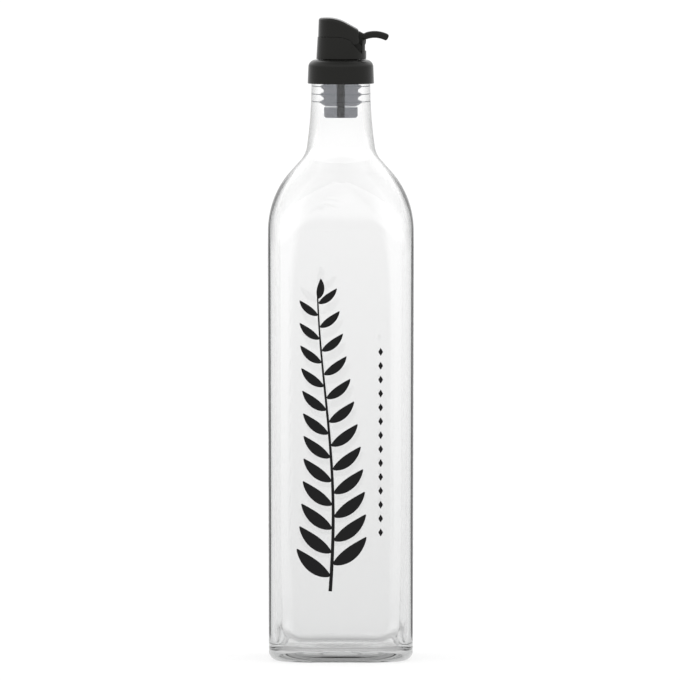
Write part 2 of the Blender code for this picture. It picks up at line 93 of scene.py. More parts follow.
class Node(Enum):
    """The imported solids."""

    GLASS = "bottle_glass"
    COLLAR = "pour_collar"
    HOUSING = "spout_housing"
    HOOD = "flip_hood"
    STOPPER = "stopper"
    TUBE = "air_tube"


class Slot(Enum):
    """The record's material slots."""

    GLASS = "clear_glass"
    PLASTIC = "black_plastic"
    STOPPER = "grey_stopper"
    TUBE = "dark_tube"


class Join(Enum):
    """How the first and last rings of a surface are closed."""

    POLES = "poles"
    RING = "ring"


# Shapes


def smoothstep(value: np.ndarray, low: float, high: float) -> np.ndarray:
    """A smooth S: 3 s^2 - 2 s^3, with s the clipped share of the way from low to high."""
    share = np.clip((np.asarray(value, float) - low) / (high - low), 0.0, 1.0)
    return share * share * (3.0 - 2.0 * share)


def soft_min(first: np.ndarray, second: np.ndarray, width: float) -> np.ndarray:
    """The smaller of two values, rounded over a width: -w log(exp(-a / w) + exp(-b / w))."""
    gap = np.abs(first - second) / width
    return np.minimum(first, second) - width * np.log1p(np.exp(-gap))


def arc(centre: tuple[float, float], radius: float, start: float, end: float, steps: int) -> np.ndarray:
    """An arc's steps + 1 points, with its angles in radians from the first axis."""
    angle = np.linspace(start, end, steps + 1)
    return np.stack([centre[0] + radius * np.cos(angle), centre[1] + radius * np.sin(angle)], axis=1)


def bend(t: Number, start: np.ndarray, pull: np.ndarray, end: np.ndarray) -> np.ndarray:
    """The quadratic curve (1-t)^2 A + 2t(1-t) C + t^2 B from start A to end B, pulled to C."""
    return (1 - t) ** 2 * start + 2 * t * (1 - t) * pull + t**2 * end


def level_ring(centre: Number, radius: Number, turn: np.ndarray, height: Number) -> np.ndarray:
    """Points (centre + r cos a, r sin a, height) of a level ring."""
    x = centre + radius * np.cos(turn)
    return np.stack([x, radius * np.sin(turn), np.broadcast_to(height, x.shape)], axis=-1)


def side_on(flat: np.ndarray, y: np.ndarray) -> np.ndarray:
    """Points (x, y, z) from flat (x, z) points and their y."""
    return np.stack([flat[..., 0], np.broadcast_to(y, flat.shape[:-1]), flat[..., 1]], axis=-1)


def soften(outline: np.ndarray, cut: float, steps: int = 4) -> np.ndarray:
    """Rounds the corners of a closed outline.

    Each corner pulls a bend between two points that lie on its edges at the cut's
    distance, or at under half of a short edge.

    Args:
        outline: Corners in order, shape (n, 2).
        cut: Distance from each corner to where its rounding starts.
        steps: Spans in each rounding.

    Returns:
        Points of shape (n * (steps + 1), 2).
    """
    sides = []
    for shift in (1, -1):
        run = np.roll(outline, shift, axis=0) - outline
        length = np.linalg.norm(run, axis=1, keepdims=True)
        sides.append(outline + run / length * np.minimum(cut, 0.45 * length))
    t = np.linspace(0.0, 1.0, steps + 1)[None, :, None]
    return bend(t, sides[0][:, None], outline[:, None], sides[1][:, None]).reshape(-1, 2)


def runs(*points: tuple[float, float], step: float = 1.5) -> np.ndarray:
    """A straight-sided line with extra points along its longer runs.

    Args:
        points: The line's corners.
        step: The longest span left in a run.

    Returns:
        Points of shape (n, 2), the last corner included.
    """
    pieces = []
    for first, second in zip(points, points[1:]):
        count = max(1, int(math.ceil(math.dist(first, second) / step)))
        share = np.arange(count)[:, None] / count
        pieces.append(np.array(first) * (1 - share) + np.array(second) * share)
    return np.vstack([*pieces, np.array([points[-1]])])


def paced(line: np.ndarray, count: int, smooth: int) -> np.ndarray:
    """Points standing evenly along a line, with its corners averaged away.

    Args:
        line: (x, z) points.
        count: How many points are wanted.
        smooth: How many times each inner point becomes (before + 2 self + after) / 4.

    Returns:
        Points of shape (count, 2); the two ends stay where they are.
    """
    length = np.concatenate([[0.0], np.cumsum(np.linalg.norm(np.diff(line, axis=0), axis=1))])
    spots = np.linspace(0.0, length[-1], count)
    even = np.stack([np.interp(spots, length, line[:, axis]) for axis in (0, 1)], axis=1)
    for _ in range(smooth):
        even[1:-1] = (even[:-2] + 2 * even[1:-1] + even[2:]) / 4
    return even


@dataclass
class Shell:
    """A closed surface: points in millimetres and the faces between them."""

    points: np.ndarray
    quads: np.ndarray
    fans: np.ndarray

    @classmethod
    def from_rings(cls, rings: np.ndarray, join: Join) -> "Shell":
        """Joins each ring to the next, and closes the ends.

        Args:
            rings: Points of shape (rings, points in a ring, 3). Each ring is a closed loop.
            join: POLES shuts the first and last ring with a fan round its middle; RING
                joins the last ring to the first.

        Returns:
            The shell, with its faces pointing outwards.
        """
        count, around = rings.shape[:2]
        index = np.arange(count * around).reshape(count, around)
        if join is Join.RING:
            lower, upper = index, np.roll(index, -1, axis=0)
        else:
            lower, upper = index[:-1], index[1:]
        beside, above = np.roll(lower, -1, axis=1), np.roll(upper, -1, axis=1)
        quads = np.stack([lower, beside, above, upper], axis=-1).reshape(-1, 4)
        points = rings.reshape(-1, 3)
        fans = np.zeros((0, 3), int)
        if join is Join.POLES:
            first, last = index[0], index[-1]
            poles = np.full(around, count * around)
            fans = np.vstack(
                [
                    np.stack([np.roll(first, -1), first, poles], axis=1),
                    np.stack([last, np.roll(last, -1), poles + 1], axis=1),
                ]
            )
            points = np.vstack([points, rings[0].mean(axis=0), rings[-1].mean(axis=0)])
        shell = cls(points, quads, fans)
        if shell.volume() < 0:
            shell = cls(points, quads[:, ::-1], fans[:, ::-1])
        return shell

    @classmethod
    def together(cls, shells: list["Shell"]) -> "Shell":
        """Several shells as one, for a piece made of separate closed shapes.

        Args:
            shells: The shells.

        Returns:
            One shell with all their points and faces.
        """
        counts = np.cumsum([0] + [len(shell.points) for shell in shells[:-1]])
        return cls(
            np.vstack([shell.points for shell in shells]),
            np.vstack([shell.quads + start for shell, start in zip(shells, counts)]),
            np.vstack([shell.fans + start for shell, start in zip(shells, counts)]),
        )

    def volume(self) -> float:
        """The signed volume: a sixth of the sum of a . (b x c) over every triangle."""
        triangles = np.vstack([self.quads[:, :3], self.quads[:, [0, 2, 3]], self.fans])
        a, b, c = (self.points[triangles[:, corner]] for corner in range(3))
        return float(np.einsum("ij,ij->i", a, np.cross(b, c)).sum() / 6.0)

    def mesh(self, name: str) -> bpy.types.Mesh:
        """The shell as a smooth-shaded mesh in metres.

        Args:
            name: The mesh's name.

        Returns:
            The mesh.
        """
        mesh = bpy.data.meshes.new(name)
        mesh.from_pydata((self.points * MM).tolist(), [], self.quads.tolist() + self.fans.tolist())
        mesh.update()
        mesh.shade_smooth()
        return mesh


def full_turn(steps: int) -> np.ndarray:
    """Evenly spaced angles round a ring."""
    return np.linspace(0.0, TAU, steps, endpoint=False)


def revolve(profile: np.ndarray, steps: int) -> Shell:
    """Turns a closed (radius, height) outline about the upright axis, in a number of steps."""
    return Shell.from_rings(level_ring(0.0, profile[:, :1], full_turn(steps), profile[:, 1:]), Join.RING)


def carried_slab(outline: np.ndarray, low: float, high: float, edge: float) -> Shell:
    """A side outline carried along Y, with its two rims rounded over.

    The rings are the outline drawn in towards its middle by edge (1 - sin a) while the
    depth moves in by edge (1 - cos a), for a from 0 to 90 degrees at each rim.

    Args:
        outline: (x, z) points in order.
        low: Where the slab starts along Y.
        high: Where it ends.
        edge: The rims' radius.

    Returns:
        The closed slab.
    """
    middle = outline.mean(axis=0)
    reach = np.linalg.norm(outline - middle, axis=1, keepdims=True)
    lean = np.linspace(0.0, QUARTER, 5)
    sink, rise = edge * (1 - np.sin(lean)), edge * (1 - np.cos(lean))
    depth = np.concatenate([[low, low], low + rise, high - rise[::-1], [high, high]])
    inward = 1.0 - np.concatenate([sink, sink[::-1]])[:, None, None] / reach[None]
    inner = np.array(CAP_SHARES)[:, None, None] * np.ones_like(reach)[None]
    scale = np.concatenate([inner * inward[:1], inward, inner[::-1] * inward[-1:]])
    flat = middle + (outline - middle)[None] * scale
    return Shell.from_rings(side_on(flat, depth[:, None]), Join.POLES)


# Finishes


class Nodes:
    """A short way to write a node tree."""

    def __init__(self, tree: bpy.types.NodeTree) -> None:
        """Empties the tree and keeps it."""
        self.tree = tree
        tree.nodes.clear()

    def add(self, kind: str, inputs: dict | None = None, **settings: str) -> bpy.types.Node:
        """A new node.

        Args:
            kind: The node's type.
            inputs: The socket or the value that each named or numbered input takes.
            settings: The node's own properties.

        Returns:
            The node.
        """
        node = self.tree.nodes.new(kind)
        for name, value in settings.items():
            setattr(node, name, value)
        for name, value in (inputs or {}).items():
            if isinstance(value, Socket):
                self.tree.links.new(value, node.inputs[name])
            else:
                node.inputs[name].default_value = value
        return node

    def out(self, **inputs: Socket) -> None:
        """Feeds the material's output."""
        self.add("ShaderNodeOutputMaterial", inputs)

    def place(self, space: str) -> Socket:
        """The shaded point's coordinates in a space."""
        return self.add("ShaderNodeTexCoord").outputs[space]

    def split(self, space: str) -> bpy.types.bpy_prop_collection:
        """The shaded point's X, Y and Z sockets in a space."""
        return self.add("ShaderNodeSeparateXYZ", {"Vector": self.place(space)}).outputs

    def noise(self, scale: float, detail: float = 2.0) -> Socket:
        """A noise's value on Object coordinates, with its scale in features a metre."""
        inputs = {"Vector": self.place("Object"), "Scale": scale, "Detail": detail}
        return self.add("ShaderNodeTexNoise", inputs).outputs["Fac"]

    def math(self, operation: str, *values: Socket | float) -> Socket:
        """A sum of one kind on one or two values."""
        return self.add("ShaderNodeMath", dict(enumerate(values)), operation=operation).outputs["Value"]

    def rise(self, source: Socket, low: float, high: float) -> Socket:
        """0 to 1 while a value goes from low to high, with soft ends."""
        inputs = {"Value": source, "From Min": low, "From Max": high}
        return self.add("ShaderNodeMapRange", inputs, interpolation_type="SMOOTHSTEP").outputs["Result"]

    def between(self, source: Socket, low: float, high: float) -> Socket:
        """A 0 to 1 value moved to between low and high."""
        inputs = {"Value": source, "To Min": low, "To Max": high}
        return self.add("ShaderNodeMapRange", inputs).outputs["Result"]

    def blend(self, source: Socket, low: tuple | Socket, high: tuple | Socket) -> Socket:
        """A colour between two, by a 0 to 1 value."""
        first, second = ((*end, 1.0) if isinstance(end, tuple) else end for end in (low, high))
        inputs = {"Factor": source, "A": first, "B": second}
        return self.add("ShaderNodeMix", inputs, data_type="RGBA").outputs["Result"]

    def bump(self, source: Socket, strength: float, height: float) -> Socket:
        """A normal from a height value, with its height in millimetres."""
        inputs = {"Height": source, "Strength": strength, "Distance": height * MM}
        return self.add("ShaderNodeBump", inputs).outputs["Normal"]


@dataclass(frozen=True)
class Finish:
    """What every finish has: a material's name."""

    name: str

    def fill(self, nodes: Nodes) -> None:
        """Builds the node tree."""
        raise NotImplementedError

    def material(self) -> bpy.types.Material:
        """The material, made once and then shared."""
        found = bpy.data.materials.get(self.name)
        if found is None:
            found = bpy.data.materials.new(self.name)
            found.use_nodes = True
            self.fill(Nodes(found.node_tree))
        return found


@dataclass(frozen=True)
class ClearGlass(Finish):
    """Clear soda glass: it bends light, and takes up a little on the way through."""

    ior: float = 1.5
    density: float = 6.0
    absorbed: tuple = (0.5, 0.52, 0.51)
    # Painted shade: the wall's colour darkens from clear at the top towards the foot, more on the flat faces.
    clear: tuple = (0.988, 0.988, 0.988)
    corner_foot_shade: tuple = (0.868, 0.87, 0.87)
    face_top_shade: tuple = (0.928, 0.928, 0.928)
    face_foot_shade: tuple = (0.838, 0.84, 0.84)
    shade_height: float = 0.26
    shaded_panel: tuple = (0.0245, 0.0285)
    shaded_panel_arch: float = 0.14
    shaded_panel_fade: float = 0.25
    # Painted shade: a dark band round the outside of the heel.
    heel_shade_tint: tuple = (0.3, 0.3, 0.3)
    heel_shade_span: tuple = (0.003, 0.009)
    # Painted shade: a dark outline where the outside is seen edge on, finer on the neck.
    edge_shade_tint: tuple = (0.36, 0.365, 0.365)
    edge_shade_span: tuple = (0.24, 0.55)
    neck_edge_shade_tint: tuple = (0.1, 0.1, 0.1)
    neck_edge_shade_span: tuple = (0.33, 0.88)
    neck_start: tuple = (0.215, 0.25)
    edge_shade_curve: float = 0.8
    ripple_scale: float = 22.0
    ripple_height: float = 0.05
    ripple_strength: float = 0.35
    roughness: tuple = (0.0, 0.012)

    def panel_shade_mask(self, nodes: Nodes, spot: bpy.types.bpy_prop_collection) -> Socket:
        """1 outside the flat faces and 0 on them: the mask of the painted shade that darkens the flat faces.

        With a the smaller of |x| and |y| and b a share of the height above the arch's foot,
        a flat face is where (a^4 + b^4)^(1/4) is under the shaded panel's half width.

        Args:
            nodes: The tree.
            spot: The shaded point's X, Y and Z sockets.

        Returns:
            The share's socket.
        """
        across = nodes.math("MINIMUM", *(nodes.math("ABSOLUTE", spot[axis]) for axis in "XY"))
        climb = nodes.math("SUBTRACT", spot["Z"], self.shaded_panel_arch)
        above = nodes.math("MAXIMUM", nodes.math("MULTIPLY", climb, self.shaded_panel_fade), 0.0)
        powers = nodes.math("ADD", *(nodes.math("POWER", side, 4.0) for side in (across, above)))
        return nodes.rise(nodes.math("POWER", powers, 0.25), *self.shaded_panel)

    def fill(self, nodes: Nodes) -> None:
        """Transmission with a slow ripple from the mould, and absorption inside.

        Its colour carries painted shade: darker round its heel, and a painted dark outline where its
        outside is seen edge on, in a finer line on the neck than on the body. Painted shade
        also makes it slightly darker on the flat faces and towards the foot.

        Args:
            nodes: The tree.
        """
        spot = nodes.split("Object")
        # Painted shade: darker towards the foot and on the flat faces.
        climb = nodes.math("DIVIDE", spot["Z"], self.shade_height)
        face = nodes.blend(climb, self.face_foot_shade, self.face_top_shade)
        corner = nodes.blend(climb, self.corner_foot_shade, self.clear)
        wall = nodes.blend(self.panel_shade_mask(nodes, spot), face, corner)
        outside = nodes.add("ShaderNodeAttribute", attribute_name=OUTSIDE).outputs["Fac"]
        # Painted shade round the heel's outside.
        heel = nodes.math("SUBTRACT", 1.0, nodes.rise(spot["Z"], *self.heel_shade_span))
        body = nodes.blend(nodes.math("MULTIPLY", heel, outside), wall, self.heel_shade_tint)
        neck = nodes.rise(spot["Z"], *self.neck_start)
        # Painted shade: darker where the outside is seen edge on, a painted dark outline.
        facing = nodes.add("ShaderNodeLayerWeight", {"Blend": 0.5}).outputs["Facing"]
        start, end = (nodes.between(neck, *ends) for ends in zip(self.edge_shade_span, self.neck_edge_shade_span))
        edge = nodes.add("ShaderNodeMapRange", {"Value": facing, "From Min": start, "From Max": end})
        rim = nodes.math("POWER", edge.outputs["Result"], self.edge_shade_curve)
        rim_shade_tint = nodes.blend(neck, self.edge_shade_tint, self.neck_edge_shade_tint)
        ripple = nodes.noise(self.ripple_scale, 1.0)
        inputs = {
            "Transmission Weight": 1.0,
            "IOR": self.ior,
            "Base Color": nodes.blend(nodes.math("MULTIPLY", rim, outside), body, rim_shade_tint),
            "Roughness": nodes.between(ripple, *self.roughness),
            "Normal": nodes.bump(ripple, self.ripple_strength, self.ripple_height),
        }
        surface = nodes.add("ShaderNodeBsdfPrincipled", inputs).outputs["BSDF"]
        inputs = {"Color": (*self.absorbed, 1.0), "Density": self.density}
        nodes.out(Surface=surface, Volume=nodes.add("ShaderNodeVolumeAbsorption", inputs).outputs["Volume"])


@dataclass(frozen=True)
class Mottled(Finish):
    """A finish whose colour and roughness drift a little from place to place."""

    dark: tuple
    light: tuple
    roughness: tuple
    specular: float
    mottle_scale: float

    def surface(self, nodes: Nodes, **more: Socket) -> tuple[Socket, Socket]:
        """The mottled surface.

        Args:
            nodes: The tree.
            more: Other inputs that the surface takes.

        Returns:
            The surface's socket, and that of the noise it follows.
        """
        mottle = nodes.noise(self.mottle_scale)
        inputs = {
            "Specular IOR Level": self.specular,
            "Base Color": nodes.blend(mottle, self.dark, self.light),
            "Roughness": nodes.between(mottle, *self.roughness),
            **more,
        }
        return nodes.add("ShaderNodeBsdfPrincipled", inputs).outputs["BSDF"], mottle


@dataclass(frozen=True)
class MouldedPlastic(Mottled):
    """Black moulded plastic: nearly even colour, a fine spark-eroded grain, soft gloss."""

    dark: tuple = (0.0105, 0.0105, 0.0096)
    light: tuple = (0.0128, 0.0128, 0.0117)
    roughness: tuple = (0.2, 0.28)
    specular: float = 0.12
    mottle_scale: float = 90.0
    grain_scale: float = 3800.0
    grain_strength: float = 0.25
    grain_height: float = 0.006

    def fill(self, nodes: Nodes) -> None:
        """Slow colour change from flow in the mould, with a fine grain over it."""
        grain = nodes.bump(nodes.noise(self.grain_scale), self.grain_strength, self.grain_height)
        nodes.out(Surface=self.surface(nodes, Normal=grain)[0])


@dataclass(frozen=True)
class SmokyStopper(Mottled):
    """Soft smoky plastic that lets some of what is behind it through."""

    dark: tuple = (0.064, 0.066, 0.073)
    light: tuple = (0.09, 0.093, 0.1)
    roughness: tuple = (0.45, 0.6)
    specular: float = 0.3
    mottle_scale: float = 260.0
    cover: tuple = (0.24, 0.32)
    smoke: tuple = (0.57, 0.58, 0.605)
    seam: tuple = (0.9, 0.9, 0.9)
    seam_height: float = 0.2914
    seam_half: tuple = (0.00015, 0.0005)

    def fill(self, nodes: Nodes) -> None:
        """A satin surface laid over a smoky see-through one, cloudier where the noise is high.

        A thin clear line runs round it at the seam between core and plug.

        Args:
            nodes: The tree.
        """
        surface, cloud = self.surface(nodes)
        away = nodes.math("SUBTRACT", nodes.split("Object")["Z"], self.seam_height)
        off_seam = nodes.rise(nodes.math("ABSOLUTE", away), *self.seam_half)
        smoke = {"Color": nodes.blend(off_seam, self.seam, self.smoke)}
        through = nodes.add("ShaderNodeBsdfTransparent", smoke).outputs["BSDF"]
        cover = nodes.math("MULTIPLY", nodes.between(cloud, *self.cover), off_seam)
        mix = nodes.add("ShaderNodeMixShader", {0: cover, 1: through, 2: surface})
        nodes.out(Surface=mix.outputs["Shader"])


@dataclass(frozen=True)
class PrintedInk(Mottled):
    """Fired black ink: dense and dull, a little uneven."""

    dark: tuple = (0.007, 0.007, 0.0072)
    light: tuple = (0.011, 0.011, 0.0113)
    roughness: tuple = (0.5, 0.7)
    specular: float = 0.08
    mottle_scale: float = 1500.0

    def fill(self, nodes: Nodes) -> None:
        """A dull black with a slight mottle from the screen."""
        nodes.out(Surface=self.surface(nodes)[0])


CLEAR_GLASS = ClearGlass("clear_glass_fine")
BLACK_PLASTIC = MouldedPlastic("black_plastic_fine")
TUBE_PLASTIC = MouldedPlastic("tube_plastic_fine", dark=(0.012, 0.012, 0.011), light=(0.018, 0.018, 0.016))
SMOKY_STOPPER = SmokyStopper("smoky_stopper_fine")
PRINT_INK = PrintedInk("print_ink_fine")


def node_box(node: Node) -> tuple[np.ndarray, np.ndarray]:
    """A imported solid's lowest and highest corner, in millimetres."""
    low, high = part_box(node.value)
    return np.array(low) / MM, np.array(high) / MM


def stand(name: str, data: bpy.types.ID) -> bpy.types.Object:
    """A new object in the scene.

    Args:
        name: Its name.
        data: Its mesh or camera.

    Returns:
        The object.
    """
    thing = bpy.data.objects.new(name, data)
    bpy.context.scene.collection.objects.link(thing)
    return thing


def place(
    name: str,
    shell: Shell,
    finish: Finish,
    body: Body,
    node: Node | None = None,
    slot: Slot | None = None,
    bevel: float = 0.0,
) -> bpy.types.Object:
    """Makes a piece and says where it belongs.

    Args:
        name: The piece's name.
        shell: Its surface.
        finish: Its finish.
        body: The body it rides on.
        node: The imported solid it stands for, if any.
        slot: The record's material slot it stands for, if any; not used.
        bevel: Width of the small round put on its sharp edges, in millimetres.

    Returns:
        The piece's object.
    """
    piece = stand(name, shell.mesh(name))
    piece.data.materials.append(finish.material())
    if bevel > 0.0:
        step = piece.modifiers.new("soft_edges", "BEVEL")
        step.width = bevel * MM
        step.segments = 2
        step.limit_method = "ANGLE"
        step.angle_limit = BEVEL_ANGLE
        step.harden_normals = True
    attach(piece, body.value)
    if node is not None:
        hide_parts(node.value)
    log.info("%s: %d points on %s", name, len(shell.points), body.value)
    return piece


# Bottle


@dataclass
class Bottle:
    """The hollow glass: a square body, a rounded shoulder and a round neck."""

    half_width: float
    mouth_height: float
    half_width_foot: float = 37.95
    corner_radius: float = 12.0
    body_top: float = 227.0
    corners_fade: tuple = (214.0, 259.0)
    shoulder_radius: float = 45.0
    shoulder_slope: float = math.radians(42.0)
    shoulder_straight: float = 8.2
    neck_fillet: float = 13.8
    neck_lean: float = math.radians(8.0)
    neck_radius: float = 15.55
    lip_rounding: float = 0.8
    heel_radius: float = 5.0
    heel_blend: float = 16.0
    heel_corner_radius: float = 21.5
    body_wall: float = 3.0
    neck_wall: float = 4.55
    wall_grows: tuple = (255.0, 290.0)
    floor_height: float = 5.6
    floor_rise: float = 2.4
    inner_heel_radius: float = 6.0
    punt_radius: float = 24.0
    punt_depth: float = 4.3
    dome_steps: int = 12
    octant_points: int = 26
    corner_pull: float = 1.7
    inner_squareness: float = 0.9

    @property
    def bore(self) -> float:
        """Radius of the neck's bore."""
        return self.neck_radius - self.neck_wall

    def face_distance(self, height: np.ndarray) -> np.ndarray:
        """How far the flat faces stand from the axis at a height: a straight taper."""
        share = (height - self.heel_blend) / (self.corners_fade[0] - self.heel_blend)
        return self.half_width_foot + (self.half_width - self.half_width_foot) * share

    def turns(self) -> np.ndarray:
        """Angles round a ring, closer together at the corners than on the flats."""
        share = np.arange(self.octant_points + 1) / self.octant_points
        octant = QUARTER / 2 * (1 - (1 - share) ** self.corner_pull)
        quarter = np.concatenate([octant, QUARTER - octant[-2:0:-1]])
        return (quarter[None] + np.arange(4)[:, None] * QUARTER).ravel()

    def plan_radius(self, turn: np.ndarray, flat: np.ndarray, corner: np.ndarray) -> np.ndarray:
        """Distance from the axis to the plan's outline.

        The plan is a square of half side flat, grown all round by corner, and a circle
        where flat is zero. On a flat the distance is (flat + corner) / cos a; at a corner
        it is where the ray meets the circle of radius corner about the square's corner.

        Args:
            turn: Angle round the axis.
            flat: Half side of the square.
            corner: Radius of the rounding.

        Returns:
            The distances.
        """
        fold = np.abs((turn + QUARTER / 2) % QUARTER - QUARTER / 2)
        reach = flat + corner
        along = flat * (np.cos(fold) + np.sin(fold))
        across = flat * (np.cos(fold) - np.sin(fold))
        rounded = along + np.sqrt(np.maximum(corner**2 - across**2, 0.0))
        return np.where(np.tan(fold) * reach < flat, reach / np.cos(fold), rounded)

    def flat_half(self, height: np.ndarray) -> np.ndarray:
        """Half side of the plan's square at a height: none is left on the neck.

        Args:
            height: Where to read it.

        Returns:
            The half sides.
        """
        foot = self.half_width_foot - self.heel_corner_radius
        body = self.half_width - self.corner_radius
        blend = smoothstep(height, 0.0, self.heel_blend)
        return (foot + (body - foot) * blend) * (1.0 - smoothstep(height, *self.corners_fade))

    def outer_profile(self) -> np.ndarray:
        """(half width, height) points up the outside, from the heel to under the lip."""
        slope, radius = self.shoulder_slope, self.shoulder_radius
        foot, top = self.half_width_foot, self.half_width
        rise = runs((foot, self.heel_radius), (foot, self.heel_blend), step=1.0)
        face = runs((foot, self.heel_blend), (top, self.corners_fade[0]), step=50.0)[1:]
        upper = runs((top, self.corners_fade[0]), (top, self.body_top), step=1.2)[1:-1]
        shoulder = arc((top - radius, self.body_top), radius, 0.0, slope, 34)
        down = np.array([-math.sin(slope), math.cos(slope)]) * self.shoulder_straight
        straight = runs(tuple(shoulder[-1]), tuple(shoulder[-1] + down), step=1.0)[1:-1]
        start = shoulder[-1] + down
        centre = start + self.neck_fillet * np.array([math.cos(slope), math.sin(slope)])
        fillet = arc(tuple(centre), self.neck_fillet, math.pi + slope, math.pi + self.neck_lean, 16)
        neck_arc = (fillet[-1, 0] - self.neck_radius) / (1 - math.cos(self.neck_lean))
        upright = fillet[-1, 1] + neck_arc * math.sin(self.neck_lean)
        neck = arc((self.neck_radius + neck_arc, upright), neck_arc, math.pi + self.neck_lean, math.pi, 18)[1:]
        return np.vstack([rise, face, upper, shoulder, straight, fillet, neck])

    def inner_profile(self, outside: np.ndarray) -> np.ndarray:
        """The outside moved in along its normal by the wall, which is thicker at the neck.

        Args:
            outside: (half width, height) points up the outside.

        Returns:
            The points of the inside, in the same order.
        """
        run = np.gradient(outside, axis=0)
        run /= np.linalg.norm(run, axis=1, keepdims=True)
        wall = self.body_wall + (self.neck_wall - self.body_wall) * smoothstep(outside[:, 1], *self.wall_grows)
        inside = outside + wall[:, None] * np.stack([-run[:, 1], run[:, 0]], axis=1)
        inside[-1, 0] = self.bore
        return inside

    def bore_at(self, height: float) -> float:
        """Radius of the neck's inside at a height."""
        inside = self.inner_profile(self.outer_profile())
        return float(np.interp(height, inside[-40:, 1], inside[-40:, 0], right=self.bore))

    def dome(self, share: np.ndarray, foot: float, rise: float) -> np.ndarray:
        """(radius, height) of a shallow dome: rise (1 - s^2) above its foot at a share s of the punt."""
        return np.stack([self.punt_radius * share, foot + rise * (1 - share**2)], axis=1)

    def rings(self) -> np.ndarray:
        """(square's half side, half width, height) of each ring, from under the base to the floor."""
        punt = self.dome(np.linspace(0.08, 1.0, self.dome_steps), 0.0, self.punt_depth)
        floor = self.dome(np.linspace(0.95, 0.08, self.dome_steps), self.floor_height, self.floor_rise)
        heel_x = self.half_width_foot - self.heel_radius
        heel = arc((heel_x, self.heel_radius), self.heel_radius, -QUARTER, 0.0, 16)[:-1]
        outside = self.outer_profile()
        squared = np.vstack([heel, outside])
        inside = self.inner_profile(outside)
        lip_z = self.mouth_height - self.lip_rounding
        neck = runs(tuple(outside[-1]), (self.neck_radius, lip_z), step=6.0)[1:-1]
        lip = arc((self.neck_radius - self.lip_rounding, lip_z), self.lip_rounding, 0.0, QUARTER, 6)
        inner_lip = arc((self.bore + self.lip_rounding, lip_z), self.lip_rounding, QUARTER, 2 * QUARTER, 6)
        bore = runs((self.bore, lip_z), tuple(inside[-1]), step=6.0)[1:-1]
        down = inside[::-1]
        down = down[down[:, 1] > self.heel_blend - 0.5]
        inner_heel_x = self.half_width_foot - self.body_wall - self.inner_heel_radius
        inner_heel_z = self.floor_height + self.inner_heel_radius
        inner_heel = arc((inner_heel_x, inner_heel_z), self.inner_heel_radius, 0.0, -QUARTER, 16)
        groups = [
            (punt, 0.0),
            (squared, self.flat_half(squared[:, 1])),
            (np.vstack([neck, lip, inner_lip, bore]), 0.0),
            (down, self.flat_half(down[:, 1])),
            (inner_heel, self.flat_half(inner_heel[:, 1]) * self.inner_squareness),
            (floor, 0.0),
        ]
        return np.vstack([np.column_stack([np.broadcast_to(flat, len(line)), line]) for line, flat in groups])

    def shell(self) -> Shell:
        """The glass: ring i holds the points (r cos a, r sin a, height i), r from the plan."""
        flat, half, height = self.rings().T[:, :, None]
        turn = self.turns()[None]
        radius = self.plan_radius(turn, flat, half - flat)
        return Shell.from_rings(level_ring(0.0, radius, turn, height), Join.POLES)

    def build(self) -> None:
        """Makes the glass, and marks the points of its outside up to the top of the lip."""
        shell = self.shell()
        around = 8 * self.octant_points
        level = self.rings()[:, 2]
        outside = np.repeat(np.arange(len(level)) <= np.argmax(level), around).astype(float)
        piece = place("square_bottle", shell, CLEAR_GLASS, Body.BOTTLE, Node.GLASS, Slot.GLASS)
        mark = piece.data.attributes.new(OUTSIDE, "FLOAT", "POINT")
        mark.data.foreach_set("value", np.concatenate([outside, [1.0, 0.0]]))


# Stopper and tube


@dataclass
class Stopper:
    """The smoky stopper: a narrow plug below, and a core with soft fins that meet the bore."""

    foot: float
    top: float
    bottle: Bottle
    tube_radius: float
    plug_radius: float = 8.85
    plug_top: float = 291.6
    core_radius: float = 9.1
    fin_heights: tuple = (302.3, 298.1, 294.1)
    fin_section: tuple = (1.1, 0.2, -0.3, -1.9)
    seam_depth: float = 0.6
    seam_width: float = 0.35
    seam_lean: float = 0.2
    plug_chamfer: float = 0.9
    rounding: float = 0.22
    grip: float = 0.05
    hole_gap: float = 0.3

    def profile(self) -> np.ndarray:
        """Closed (radius, height) outline; each fin is a thin lip that leans up to the bore."""
        hole = self.tube_radius + self.hole_gap
        corners = [(hole, self.top), (self.core_radius, self.top)]
        for height in self.fin_heights:
            tip = self.bottle.bore_at(height) + self.grip
            reach = (self.core_radius, tip, tip, self.core_radius)
            corners += [(radius, height + rise) for radius, rise in zip(reach, self.fin_section)]
        groove = self.plug_radius - self.seam_depth
        corners += [
            (groove, self.plug_top + self.seam_width),
            (groove, self.plug_top),
            (self.plug_radius, self.plug_top - self.seam_lean),
            (self.plug_radius, self.foot + self.plug_chamfer),
            (self.plug_radius - self.plug_chamfer, self.foot),
            (hole, self.foot),
        ]
        return soften(np.array(corners), self.rounding, 3)

    def build(self) -> None:
        """Makes the stopper."""
        shell = revolve(self.profile(), 128)
        place("finned_stopper", shell, SMOKY_STOPPER, Body.BOTTLE, Node.STOPPER, Slot.STOPPER)


@dataclass
class AirTube:
    """The thin dark tube through the stopper, open at both ends."""

    radius: float
    foot: float
    top: float
    bore: float = 1.1
    rounding: float = 0.15

    def build(self) -> None:
        """Makes the tube."""
        width, height = (self.bore, self.radius), (self.top, self.foot)
        corners = [(width[side], height[end]) for side, end in ((0, 0), (1, 0), (1, 1), (0, 1))]
        shell = revolve(soften(np.array(corners), self.rounding, 3), 48)
        place("thin_tube", shell, TUBE_PLASTIC, Body.BOTTLE, Node.TUBE, Slot.TUBE)


# Pourer


